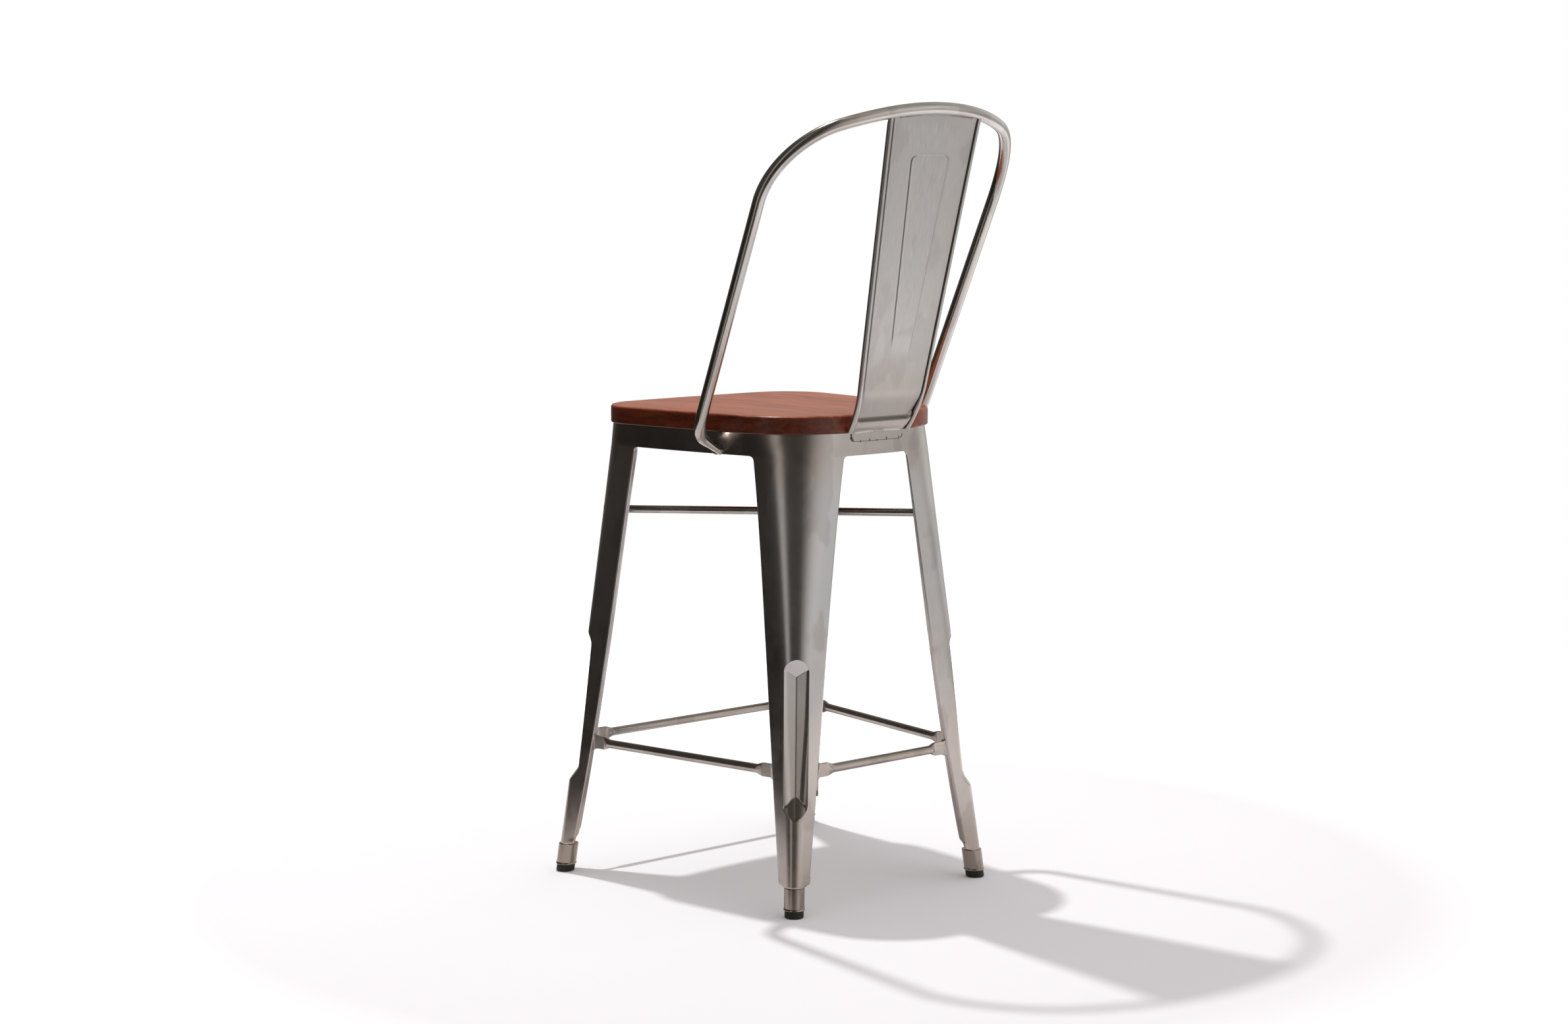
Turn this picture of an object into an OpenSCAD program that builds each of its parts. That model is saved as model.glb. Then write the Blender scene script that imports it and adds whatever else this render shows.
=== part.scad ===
// Bar stool with footrest: pressed sheet-steel legs flaring into an apron, round footrest
// and brace bars, a bent tube hoop with one slat for a back, and a solid wood seat.
// Millimetres. +Z is up, the floor is z = 0, the back of the stool is towards +Y and the
// stool is symmetric about x = 0. The origin is the middle of the plan's outline.

/* [Plan of the frame] */
// Front corner of the apron before rounding, across from the middle
front_corner_x = 185.3; // [150:0.1:240]
// Front corner of the apron before rounding, forward of the frame's datum
front_corner_y = 177.4; // [150:0.1:240]
// Rear corner of the apron before rounding, across from the middle
rear_corner_x = 132.6; // [100:0.1:220]
// Rear corner of the apron before rounding, behind the frame's datum
rear_corner_y = 180.2; // [150:0.1:240]
// Ridge of a front leg at its lower end, across from the middle
front_toe_x = 234.1; // [180:0.1:280]
// Ridge of a front leg at its lower end, forward of the datum
front_toe_y = 203.1; // [160:0.1:260]
// Ridge of a rear leg at its lower end, across from the middle
rear_toe_x = 174.3; // [130:0.1:240]
// Ridge of a rear leg at its lower end, behind the datum
rear_toe_y = 217.4; // [160:0.1:260]
// Outward turn of the side flanges against the line between front and rear corner, degrees
side_bow = 3.4; // [0:0.1:8]
// Outward turn of the front and rear flanges against straight across, degrees
end_bow = 5.2; // [0:0.1:10]

/* [Heights] */
// Lower edge of the apron
apron_low = 600; // [500:0.5:650]
// Top of the apron, where the seat lies
apron_top = 630.4; // [540:0.1:700]
// Height of the ends of the leg sheet above the floor
toe_height = 39; // [25:0.5:60]
// Top of the rubber foot
foot_top = 10; // [5:0.5:20]
// Axis of the footrest bars
footrest_height = 187.4; // [120:0.1:260]
// Axis of the upper brace rod
brace_height = 509; // [400:0.5:560]

/* [Pressed legs] */
// Thickness of the leg and apron sheet
sheet = 1.6; // [1:0.1:3]
// Ridge radius at the lower end of a leg
ridge_low_r = 14.5; // [5:0.1:25]
// Ridge radius of a front leg at the apron's lower edge
front_ridge_r = 51.6; // [30:0.1:90]
// Ridge radius of a front leg at the apron's top
front_crown_r = 58.6; // [30:0.1:120]
// Ridge radius of a rear leg at the apron's lower edge
rear_ridge_r = 82.7; // [30:0.1:110]
// Ridge radius of a rear leg at the apron's top
rear_crown_r = 101; // [30:0.1:130]
// Power with which the ridge radius grows towards the apron
ridge_growth = 1.9; // [1:0.05:3]
// Half of the angle between the two flanges at the lower end, degrees
half_angle_low = 37.5; // [28:0.5:50]
// Power with which the flanges open towards the apron
angle_growth = 0.67; // [0.4:0.01:1.5]
// Inward bow of a leg between toe and apron
leg_bow = 1.15; // [0:0.05:5]
// Waist of the flanges between footrest and apron, at each edge
waist = 1.9; // [0:0.1:6]
// Half spread of the flange edges at the lower end
spread_low = 21.5; // [14:0.1:30]
// Width of a flange at the apron, measured from the sharp corner
flange_top = 76; // [50:0.5:100]
// Depth of the return fold along the side flanges
fold_depth = 7; // [4:0.5:15]
// Depth of the return fold of a front or rear flange at its lower end
end_fold_low = 9.5; // [4:0.5:15]
// Depth of the return fold of a front or rear flange below the apron
end_fold_high = 2.1; // [2:0.1:10]
// Radius of the flange edge where it sweeps into the apron
sweep_r = 6; // [3:0.5:25]
// Lower tip of the pressed groove
groove_low = 128; // [80:1:200]
// Upper tip of the pressed groove
groove_high = 337; // [250:1:420]
// Half width of the groove
groove_half = 16.6; // [8:0.1:25]
// Fall of the groove's two walls towards its middle crease, per millimetre
groove_fall = 0.35; // [0.1:0.01:0.8]
// Height of the pointed arch at the groove's lower end
groove_arch = 20; // [17:0.5:40]
// Run-out slope of the groove's lower end
tip_low_slope = 0.85; // [0.3:0.01:1.2]
// Run-out slope of the groove's upper end
tip_high_slope = 0.5; // [0.3:0.01:1]

/* [Feet] */
// Outer diameter of the foot socket
socket_d = 27.5; // [20:0.5:35]
// Wall of the foot socket
socket_wall = 2.6; // [1:0.1:4]
// Distance of the foot's axis inside the leg's ridge
foot_inset = 11.5; // [5:0.1:20]
// Diameter of the rubber foot
foot_d = 25.5; // [18:0.5:34]

/* [Bars] */
// Diameter of the footrest bars and brace rods
bar_d = 11; // [8:0.5:16]
// Distance of a footrest bar's axis inside the leg faces
bar_inset = 5.4; // [4:0.1:12]
// Height of a bar's flattened end
paddle_height = 18; // [10:0.5:26]
// Thickness of a bar's flattened end
paddle_thick = 4.4; // [3:0.1:8]
// Length of a bar's flattened end
paddle_length = 18; // [8:0.5:30]
// Length of the change from flat to round
paddle_taper = 9; // [4:0.5:20]

/* [Back hoop] */
// Diameter of the hoop's tube
hoop_d = 16; // [12:0.5:25]
// Height of the crown's axis
hoop_crown = 1054.3; // [900:0.1:1150]
// Half width of the hoop at the shoulders
hoop_half = 215; // [150:0.5:260]
// Radius of the crown in front view
crown_r = 492; // [300:1:900]
// Radius of the shoulders in front view
shoulder_r = 100; // [50:1:150]
// Angle at which crown and shoulder meet, degrees
shoulder_angle = 17; // [8:0.5:40]
// Inward taper of the sides, per millimetre of drop
side_taper = 0.029; // [0:0.001:0.1]
// Height where the sides start to turn in to the apron
hook_start = 657; // [640:1:700]
// Distance of the sides behind the datum, at the height of 680
hoop_y = 77.5; // [40:0.5:140]
// Backward lean of the hoop, per millimetre of rise
hoop_lean = 0.45; // [0.2:0.01:0.7]
// Extra backward bend of the crown
crown_bend = 54; // [0:1:90]
// Distance behind the datum at which the hoop meets the apron
hook_y = 46; // [20:0.5:100]
// Height at which the hoop meets the apron
hook_z = 607; // [602:0.5:625]

/* [Back slat] */
// Thickness of the slat's sheet
slat_sheet = 1.6; // [1:0.1:3]
// Half width of the slat at height 700, to the middle of its rolled edge
slat_half = 58.9; // [40:0.1:80]
// Widening of the slat per millimetre of rise
slat_widen = 0.0605; // [0:0.0005:0.15]
// Rolled edge's middle behind the datum, at height 700
slat_y = 220.3; // [190:0.1:240]
// Backward lean of the slat, per millimetre of rise
slat_lean = 0.2167; // [0.1:0.001:0.5]
// Radius of the slat's rolled edges
roll_r = 3.75; // [2:0.05:6]
// Face of the slat behind the middle of its rolled edges
slat_face = 2.5; // [1:0.1:3.5]
// Height of the raised panel on the slat
panel_rise = 1.4; // [0.5:0.1:3]
// Half width of the raised panel near its top
panel_half = 33.5; // [20:0.5:50]
// Narrowing of the panel's half width per millimetre of drop
panel_taper = 0.0694; // [0:0.0002:0.12]
// Top of the raised panel
panel_top = 994; // [900:1:1010]
// Half width of the slat's tab on the apron
tab_half = 46; // [30:0.5:60]
// Lower edge of the tab
tab_low = 619; // [602:0.5:625]
// Height of the crease below the slat's field
crease_z = 647; // [640:0.5:660]
// Height at which the rolled edges end beside the tab
roll_end = 632; // [631:0.5:638]
// Half width at the rolled edges' lower ends, to the middle of the roll
roll_end_half = 53; // [40:0.1:60]
// Height at which the slat starts to bend towards the apron
bend_z = 690; // [670:1:720]
// Radius of that bend
bend_r = 124; // [80:1:200]
// Height of the slat's top flat above its panel
panel_margin = 28; // [10:1:45]

/* [Wood seat] */
// Half width of the seat at its front corners before rounding
seat_front_half = 193; // [150:0.5:240]
// Half width of the seat at its rear corners before rounding
seat_rear_half = 145.3; // [110:0.1:220]
// Front edge of the seat forward of the datum
seat_front_y = 184.3; // [150:0.1:240]
// Rear edge of the seat behind the datum
seat_rear_y = 180.6; // [150:0.1:240]
// Radius of the front corners in plan
seat_front_r = 63.5; // [20:0.5:100]
// Radius of the rear corners in plan
seat_rear_r = 94.9; // [20:0.1:120]
// Outward bow of the seat's sides
seat_side_bow = 4.8; // [0:0.1:12]
// Outward bow of the seat's front edge
seat_front_bow = 7.5; // [0:0.1:16]
// Outward bow of the seat's rear edge
seat_rear_bow = 7.7; // [0:0.1:16]
// Thickness of the seat
seat_thick = 24.4; // [18:0.1:40]
// Rounding of the seat's edges
seat_edge_r = 4; // [1:0.1:8]

/* [Seat fixing] */
// Width of the ring plate under the seat
ring_width = 46; // [25:1:80]
// Diameter of the seat screws' shanks
screw_d = 5; // [3:0.5:8]
// Length of the seat screws below their heads
screw_length = 16; // [8:1:25]
// Diameter of the seat screws' heads
screw_head_d = 10; // [6:0.5:16]

/* [Fits] */
// Depth by which welded and pressed pieces are seated in each other
seating = 0.3; // [0:0.05:0.5]
// Weld gap between the slat's tab and the apron
tab_gap = 0.1; // [0:0.05:0.5]

/* [Hidden] */
$fn = 64;

steel = [0.50, 0.48, 0.46];
dark_steel = [0.36, 0.35, 0.34];
wood = [0.46, 0.22, 0.14];
rubber = [0.07, 0.07, 0.07];
REAR = 0;
FRONT = 1;

function mix(a, b, t) = a + (b - a) * t;
function unit(v) = v / norm(v);
function sq(a) = a * a;
function sum(v, i = 0) = i < len(v) ? v[i] + sum(v, i + 1) : 0;
// Larger of two values with a soft change-over of width w
function soft_max(a, b, w) = max(a, b) + sq(max(w - abs(a - b), 0)) / (4 * w);
// Sides of a loft through rings of equal length, then the two end faces
function loft_sides(rings, n) = [for (i = [0 : rings - 2], j = [0 : n - 1])
    let (a = i * n + j, b = i * n + (j + 1) % n) each [[a, b, b + n], [a, b + n, a + n]]];
function ring_cap(first, n) = [for (j = [0 : n - 1]) first + j];
function backwards(v) = [for (i = [len(v) - 1 : -1 : 0]) v[i]];

// ---- Pressed leg. A leg is drawn in its own directions: n points from the ridge towards
// the inside of the frame, t points across, towards the next leg counter-clockwise.
function corner_top(k) = k == REAR ? [rear_corner_x, rear_corner_y]
    : [front_corner_x, -front_corner_y];
function toe(k) = k == REAR ? [rear_toe_x, rear_toe_y] : [front_toe_x, -front_toe_y];
function side_way(k) = unit(corner_top(1 - k) - corner_top(k));
function next_way(k) = k == REAR ? [-1, 0] : side_way(k);
function last_way(k) = k == REAR ? side_way(k) : [-1, 0];
function turn_by(v, a) = [v[0] * cos(a) - v[1] * sin(a), v[0] * sin(a) + v[1] * cos(a)];
function next_flange(k) = turn_by(next_way(k), k == REAR ? -end_bow : -side_bow);
function last_flange(k) = turn_by(last_way(k), k == REAR ? side_bow : end_bow);
function in_way(k) = unit(next_flange(k) + last_flange(k));
function across_way(k) = unit(next_flange(k) - last_flange(k));
function top_half_angle(k) = acos(next_flange(k) * last_flange(k)) / 2;
function ridge_set(k) = k == REAR ? [rear_ridge_r, rear_crown_r] : [front_ridge_r, front_crown_r];
function corner_ridge(k, r) = corner_top(k) + in_way(k) * r * (1 / sin(top_half_angle(k)) - 1);

// Share of the way from toe to apron, and the share with the apron's height above it
function rise(z) = max(0, min((z - toe_height - 1) / (apron_low - toe_height - 1), 1));
function crown(z) = max(0, min((z - apron_low) / (apron_top - apron_low), 1));
function ridge_r(k, z) = z > apron_low ? mix(ridge_set(k)[0], ridge_set(k)[1], crown(z))
    : mix(ridge_low_r, ridge_set(k)[0], pow(rise(z), ridge_growth));
function ridge(k, z) = z > apron_low ? corner_ridge(k, ridge_r(k, z))
    : let (s = rise(z)) mix(toe(k), corner_ridge(k, ridge_set(k)[0]), s)
        + in_way(k) * leg_bow * 4 * s * (1 - s);
function half_angle(k, z) = mix(half_angle_low, top_half_angle(k), pow(rise(z), angle_growth));
// The waist's factor brings its deepest place to the named size
function spread(k, z) = let (s = rise(z))
    mix(spread_low, flange_top * sin(top_half_angle(k)), s) - waist * 9.48 * pow(s, 3) * (1 - s);
// Extra flange width where the edge sweeps into the apron
function sweep(z) = z <= apron_low - sweep_r ? 0
    : sweep_r - sqrt(max(sq(sweep_r) - sq(min(z, apron_low) - apron_low + sweep_r), 0));
// The side flange is the next one on a front leg and the last one on a rear leg
function is_side(k, side) = (side > 0) == (k == FRONT);
function full_fold(k, side, z) = is_side(k, side) ? fold_depth
    : mix(end_fold_low, end_fold_high, rise(z));
function fold(k, side, z) = z < toe_height + 14 ? sheet + 0.6
    : z > apron_low - sweep_r
        ? mix(full_fold(k, side, z), sheet + 0.4, sqrt(sweep(z) / sweep_r))
    : full_fold(k, side, z);
function fold_r(k, side, z) = min(z > apron_low - sweep_r ? mix(2.4, 0.3, sweep(z) / sweep_r)
    : 2.4, fold(k, side, z) - 0.5);

// Depth of the leg's outer face inside the ridge line, before and after the groove
function plain_depth(k, z, t) = let (r = ridge_r(k, z), a = half_angle(k, z))
    t < r * cos(a) ? r - sqrt(sq(r) - sq(t)) : r - r * sin(a) + (t - r * cos(a)) / tan(a);
// The groove's walls fall towards a crease. They end in a round bowl above and in a pointed
// arch below, both drawn by the distance from the groove's rim.
arch_r = (sq(groove_half) + sq(groove_arch)) / (2 * groove_half);
arch_z = groove_low + groove_arch;
dome_z = groove_high - groove_half;
function in_groove(z) = z > groove_low && z < groove_high;
function rim_half(z) = z < arch_z ? sqrt(sq(arch_r) - sq(z - arch_z)) - arch_r + groove_half
    : z > dome_z ? sqrt(sq(groove_half) - sq(z - dome_z)) : groove_half;
function dome_way(z, t) = z > dome_z ? groove_half - norm([t, z - dome_z])
    : groove_half - t + sq(dome_z - z) / (0.6 * groove_half);
function arch_way(z, t) = z < arch_z ? arch_r - norm([t + arch_r - groove_half, z - arch_z])
    : groove_half - t + sq(z - arch_z) / (0.6 * groove_half);
function groove_depth(k, z, t) = let (p = plain_depth(k, z, t))
    min(plain_depth(k, z, groove_half) + groove_fall * (groove_half - t),
        p + tip_high_slope * dome_way(z, t), p + tip_low_slope * arch_way(z, t));
function outer_depth(k, z, t) = let (p = plain_depth(k, z, t))
    in_groove(z) ? soft_max(p, groove_depth(k, z, t), 1.2) : p;
function face_stations(k, z) = let (rim = max(in_groove(z) ? rim_half(z) : 0, 4),
        e = min(2.2, rim * 0.4),
        last = min(max(ridge_r(k, z) * cos(half_angle(k, z)), rim + e + 3), spread(k, z) - 4))
    [0, (rim - e) / 2, rim - e, rim, rim + e, mix(rim + e, last, 1 / 3),
     mix(rim + e, last, 2 / 3), last];

// Outline of the leg's sheet at height z as [t, n] pairs
function half_face(k, z) = [for (t = face_stations(k, z)) [t, outer_depth(k, z, t)]];
function edge_point(k, z) = let (a = half_angle(k, z), h = spread(k, z))
    [h, plain_depth(k, z, h)] + sweep(z) * [sin(a), cos(a)];
function turned(p, q) = unit([p[1] - q[1], q[0] - p[0]]);
function inset(v) = [for (i = [1 : len(v) - 2])
    let (a = turned(v[i - 1], v[i]), b = turned(v[i], v[i + 1]))
    v[i] + (a + b) / (1 + a * b) * sheet];
function mirror_t(v) = [for (i = [len(v) - 1 : -1 : 0]) [-v[i][0], v[i][1]]];
// Folded edge of one flange, from the face to the sheet's inner corner
function folded(k, side, z) = let (a = half_angle(k, z), along = [sin(a), cos(a)],
        inward = [-cos(a), sin(a)], e = edge_point(k, z), q = fold_r(k, side, z),
        f = fold(k, side, z))
    [e - along * q, e + inward * q, e + inward * f, e + inward * f - along * sheet,
     e + inward * sheet - along * sheet];
function leg_outline(k, z) = let (e = edge_point(k, z), half = half_face(k, z),
        tail = [for (i = [1 : len(half) - 1]) half[i]],
        outside = concat([for (p = mirror_t(tail)) p], half),
        long = concat([[-e[0], e[1]]], outside, [e]))
    concat(outside, folded(k, 1, z), backwards(inset(long)), mirror_t(folded(k, -1, z)));
function leg_point(k, z, p) = let (xy = ridge(k, z) + across_way(k) * p[0] + in_way(k) * p[1])
    [xy[0], xy[1], z];
function leg_ring(k, z) = [for (p = leg_outline(k, z)) leg_point(k, z, p)];
// The flange ends are cut sloping up away from the foot socket
function toe_ring(k) = [for (p = leg_outline(k, toe_height))
    leg_point(k, toe_height, p) + [0, 0, 0.45 * max(abs(p[0]) - 12.5, 0)]];
leg_levels = [toe_height + 12, toe_height + 15, groove_low, groove_low + 5, groove_low + 12,
    arch_z, arch_z + 5, mix(groove_low, groove_high, 0.5), dome_z - 7, dome_z,
    groove_high - 9, groove_high - 3, groove_high, mix(groove_high, apron_low, 0.45),
    apron_low - sweep_r, apron_low - sweep_r * 0.3, apron_low, apron_top];

module pressed_leg(k) {
    rings = concat([toe_ring(k)], [for (z = leg_levels) leg_ring(k, z)]);
    n = len(rings[0]);
    outer = 15;
    // Ends are closed between matching stations of the outer and the inner face
    function strip(first) = let (o = [for (j = [0 : outer - 1]) first + j],
            i = [for (j = [0 : outer - 1]) first + outer + 5 + outer - 1 - j],
            r = first + outer, l = first + outer + 5 + outer)
        concat([for (j = [0 : outer - 2]) each [[o[j + 1], o[j], i[j]], [o[j + 1], i[j], i[j + 1]]]],
            [[r, o[outer - 1], i[outer - 1]], [r, i[outer - 1], r + 4], [r + 1, r, r + 4],
             [r + 2, r + 1, r + 4], [r + 3, r + 2, r + 4],
             [o[0], l + 4, i[0]], [i[0], l + 4, l], [l + 4, l + 3, l], [l + 3, l + 2, l],
             [l + 2, l + 1, l]]);
    polyhedron(points = [for (r = rings) each r],
        faces = concat(strip(0), loft_sides(len(rings), n),
            [for (f = strip((len(rings) - 1) * n)) backwards(f)]), convexity = 8);
}

module leg(k) { color(steel) pressed_leg(k); }
module leg_front_right() { leg(FRONT); }
module leg_front_left() { mirror([1, 0, 0]) leg(FRONT); }
module leg_rear_right() { leg(REAR); }
module leg_rear_left() { mirror([1, 0, 0]) leg(REAR); }

// ---- Apron plates between the legs, bowed like the legs' flanges
function wing_end(k, side) = let (e = edge_point(k, apron_low))
    let (p = ridge(k, apron_low) + across_way(k) * side * e[0] + in_way(k) * e[1]) p;
function apron_radius(a, b, bow) = norm(b - a) / 2 / sin(bow);
module apron_plate(a, b, bow) {
    half = norm(b - a) / 2;
    r = apron_radius(a, b, bow);
    reach = asin(half / r) + asin(seating / r);
    way = b - a;
    mid = (a + b) / 2;
    color(steel) translate([mid[0], mid[1], apron_low]) rotate(atan2(way[1], way[0]) - 90)
        translate([-sqrt(sq(r) - sq(half)), 0, 0]) rotate(-reach)
            rotate_extrude(angle = 2 * reach, $fn = 1440)
                translate([r - sheet, 0]) square([sheet, apron_top - apron_low]);
}
module apron_right() { apron_plate(wing_end(FRONT, 1), wing_end(REAR, -1), side_bow); }
module apron_left() { mirror([1, 0, 0]) apron_right(); }
module apron_rear() {
    e = wing_end(REAR, 1);
    apron_plate(e, [-e[0], e[1]], end_bow);
}
module apron_front() {
    e = wing_end(FRONT, -1);
    apron_plate([-e[0], e[1]], e, end_bow);
}

// ---- Rods and bars
module rod(a, b, d) {
    v = b - a;
    translate(a) rotate([0, acos(v[2] / norm(v)), atan2(v[1], v[0])])
        cylinder(d = d, h = norm(v));
}
function rod_end(k, z) = let (p = ridge(k, z) + in_way(k) * (sheet - seating)) [p[0], p[1], z];
function flip_x(p) = [-p[0], p[1], p[2]];
module brace_rod_upper() {
    color(dark_steel) rod(rod_end(FRONT, brace_height), flip_x(rod_end(REAR, brace_height)), bar_d);
}
module brace_rod_lower() {
    z = brace_height - bar_d + seating / 2;
    color(dark_steel) rod(rod_end(REAR, z), flip_x(rod_end(FRONT, z)), bar_d);
}

// The fold's outer face on one edge of a leg, as a point and a normal
function fold_point(k, side, z, depth) = let (a = half_angle(k, z), e = edge_point(k, z),
        q = e + [-cos(a), sin(a)] * depth)
    leg_point(k, z, [side * q[0], q[1]]);
function fold_normal(k, side) = let (z = footrest_height, a = fold_point(k, side, z - 9, 3),
        b = fold_point(k, side, z + 9, 3), c = fold_point(k, side, z, 8),
        m = unit(cross(b - a, c - a)))
    m * [in_way(k)[0], in_way(k)[1], 0] > 0 ? m : -m;
// Flat-to-round end: a ring of the bar, flat for share 0 and round for share 1
paddle_sides = 24;
function paddle_ring(share, r) = [for (i = [0 : paddle_sides - 1])
    let (a = 360 * (i + 0.5) / paddle_sides, c = cos(a), s = sin(a),
        flat = [max(-1, min(1, c * 1.6)) * paddle_thick / 2,
            max(-1, min(1, s * 1.35)) * paddle_height / 2])
    mix(flat, [c, s] * r, share)];
module footrest_bar(k1, side1, k2, side2, flip2) {
    z = footrest_height;
    m = flip2 ? [-1, 1, 1] : [1, 1, 1];
    function by(v) = [v[0] * m[0], v[1] * m[1], v[2] * m[2]];
    a = fold_point(k1, side1, z, 0);
    b = by(fold_point(k2, side2, z, 0));
    way = unit(b - a);
    // The leg stands outside the bar's axis, away from the middle of the frame
    left = [-way[1], way[0], 0];
    inside = left * a > 0 ? -left : left;
    p = a + inside * bar_inset;
    long = norm(b - a);
    up = [0, 0, 1];
    across = cross(way, up);
    function at(x, q) = p + way * x + across * q[0] + up * q[1];
    // Each end is cut along the fold of the leg it is welded to
    function on_cut(q, x, face, normal) = let (v = at(x, q))
        v + way * (((face - v) * normal - seating) / (way * normal));
    steps = [[paddle_length, 0], [paddle_length + paddle_taper * 0.5, 0.55],
        [paddle_length + paddle_taper, 1]];
    r = bar_d / 2;
    function cut_ring(x, face, normal) = [for (q = paddle_ring(0, r)) on_cut(q, x, face, normal)];
    function bar_ring(x, share) = [for (q = paddle_ring(share, r)) at(x, q)];
    rings = concat([cut_ring(0, a, fold_normal(k1, side1))],
        [for (s = steps) bar_ring(s[0], s[1])],
        [for (s = backwards(steps)) bar_ring(long - s[0], s[1])],
        [cut_ring(long, b, by(fold_normal(k2, side2)))]);
    n = paddle_sides;
    color(steel) polyhedron(points = [for (v = rings) each v],
        faces = concat([backwards(ring_cap(0, n))], loft_sides(len(rings), n),
            [ring_cap((len(rings) - 1) * n, n)]), convexity = 6);
}
module footrest_right() { footrest_bar(FRONT, 1, REAR, -1, false); }
module footrest_left() { mirror([1, 0, 0]) footrest_right(); }
module footrest_rear() { footrest_bar(REAR, 1, REAR, 1, true); }
module footrest_front() { footrest_bar(FRONT, -1, FRONT, -1, true); }

// ---- Feet: a socket welded under each leg and a rubber foot pushed into it
function foot_centre(k, z) = let (p = toe(k) + (corner_ridge(k, ridge_set(k)[0]) - toe(k))
        * (z - toe_height - 1) / (apron_low - toe_height - 1) + in_way(k) * foot_inset)
    [p[0], p[1], z];
foot_sides = 28;
// A turned form that leans with the leg but keeps level faces: [height, radius] pairs
module leaning_form(k, profile) {
    rings = [for (q = profile) [for (j = [0 : foot_sides - 1]) let (a = 360 * j / foot_sides)
        foot_centre(k, q[0]) + q[1] * [cos(a), sin(a), 0]]];
    last = (len(rings) - 1) * foot_sides;
    polyhedron(points = [for (r = rings) each r],
        faces = concat([backwards(ring_cap(0, foot_sides))],
            loft_sides(len(rings), foot_sides), [ring_cap(last, foot_sides)]), convexity = 6);
}
socket_r = socket_d / 2;
socket_bore = socket_r - socket_wall;
socket_rim = 0.7;
socket_top = toe_height + seating;
plug_top = foot_top + 16;
module socket(k) {
    color(dark_steel) leaning_form(k, [[socket_top - 4, socket_bore], [foot_top, socket_bore],
        [foot_top, socket_r + socket_rim], [foot_top + 2.4, socket_r + socket_rim],
        [foot_top + 3, socket_r], [socket_top, socket_r]]);
}
module foot(k) {
    color(rubber) leaning_form(k, [[0, foot_d / 2 - 1.2], [1.4, foot_d / 2],
        [foot_top, foot_d / 2], [foot_top, socket_bore], [plug_top, socket_bore]]);
}
module socket_front_right() { socket(FRONT); }
module socket_front_left() { mirror([1, 0, 0]) socket(FRONT); }
module socket_rear_right() { socket(REAR); }
module socket_rear_left() { mirror([1, 0, 0]) socket(REAR); }
module foot_front_right() { foot(FRONT); }
module foot_front_left() { mirror([1, 0, 0]) foot(FRONT); }
module foot_rear_right() { foot(REAR); }
module foot_rear_left() { mirror([1, 0, 0]) foot(REAR); }

// ---- Back hoop
shoulder_x = (crown_r - shoulder_r) * sin(shoulder_angle);
shoulder_z = hoop_crown - crown_r + (crown_r - shoulder_r) * cos(shoulder_angle);
function hoop_depth(x, z) = hoop_y + hoop_lean * (z - 680)
    + crown_bend * (1 - pow(min(abs(x) / hoop_half, 1), 2.6));
function hoop_at(x, z) = [x, hoop_depth(x, z), z];
side_x = shoulder_x + shoulder_r;
function side_point(z) = hoop_at(side_x - side_taper * (shoulder_z - z), z);
hook_a = side_point(hook_start);
// Outer face of the side apron at the hoop's foot
apron_a = wing_end(FRONT, 1);
apron_b = wing_end(REAR, -1);
apron_way = unit(apron_b - apron_a);
apron_out = [apron_way[1], -apron_way[0]];
function apron_face(y) = let (s = (y - apron_a[1]) / (apron_b[1] - apron_a[1]),
        p = mix(apron_a, apron_b, s), r = apron_radius(apron_a, apron_b, side_bow),
        c = norm(apron_b - apron_a), x = (s - 0.5) * c)
    p + apron_out * (sqrt(sq(r) - sq(x)) - sqrt(sq(r) - sq(c / 2)));
hook_end = let (p = apron_face(hook_y)) [p[0], p[1], hook_z];
function bezier(a, b, c, d, t) = a * pow(1 - t, 3) + b * 3 * t * sq(1 - t)
    + c * 3 * sq(t) * (1 - t) + d * pow(t, 3);
hook_pull = unit(side_point(hook_start) - side_point(hook_start + 1));
hook_push = unit([0.82, 0.12, 0.42]);
hook_points = [for (t = [0 : 0.125 : 0.99])
    bezier(hook_end, hook_end + hook_push * 32, hook_a + hook_pull * 34, hook_a, t)];
side_points = [for (z = [hook_start : 70 : shoulder_z - 15]) side_point(z)];
shoulder_points = [for (a = [0 : 8 : 90 - shoulder_angle - 4])
    hoop_at(shoulder_x + shoulder_r * cos(a), shoulder_z + shoulder_r * sin(a))];
crown_points = [for (a = [shoulder_angle : -shoulder_angle / 5 : 0.01])
    hoop_at(crown_r * sin(a), hoop_crown - crown_r + crown_r * cos(a))];
half_hoop = concat(hook_points, side_points, shoulder_points, crown_points);
hoop_line = concat(half_hoop, [hoop_at(0, hoop_crown)],
    [for (i = [len(half_hoop) - 1 : -1 : 0]) flip_x(half_hoop[i])]);
hoop_sides = 16;
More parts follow.
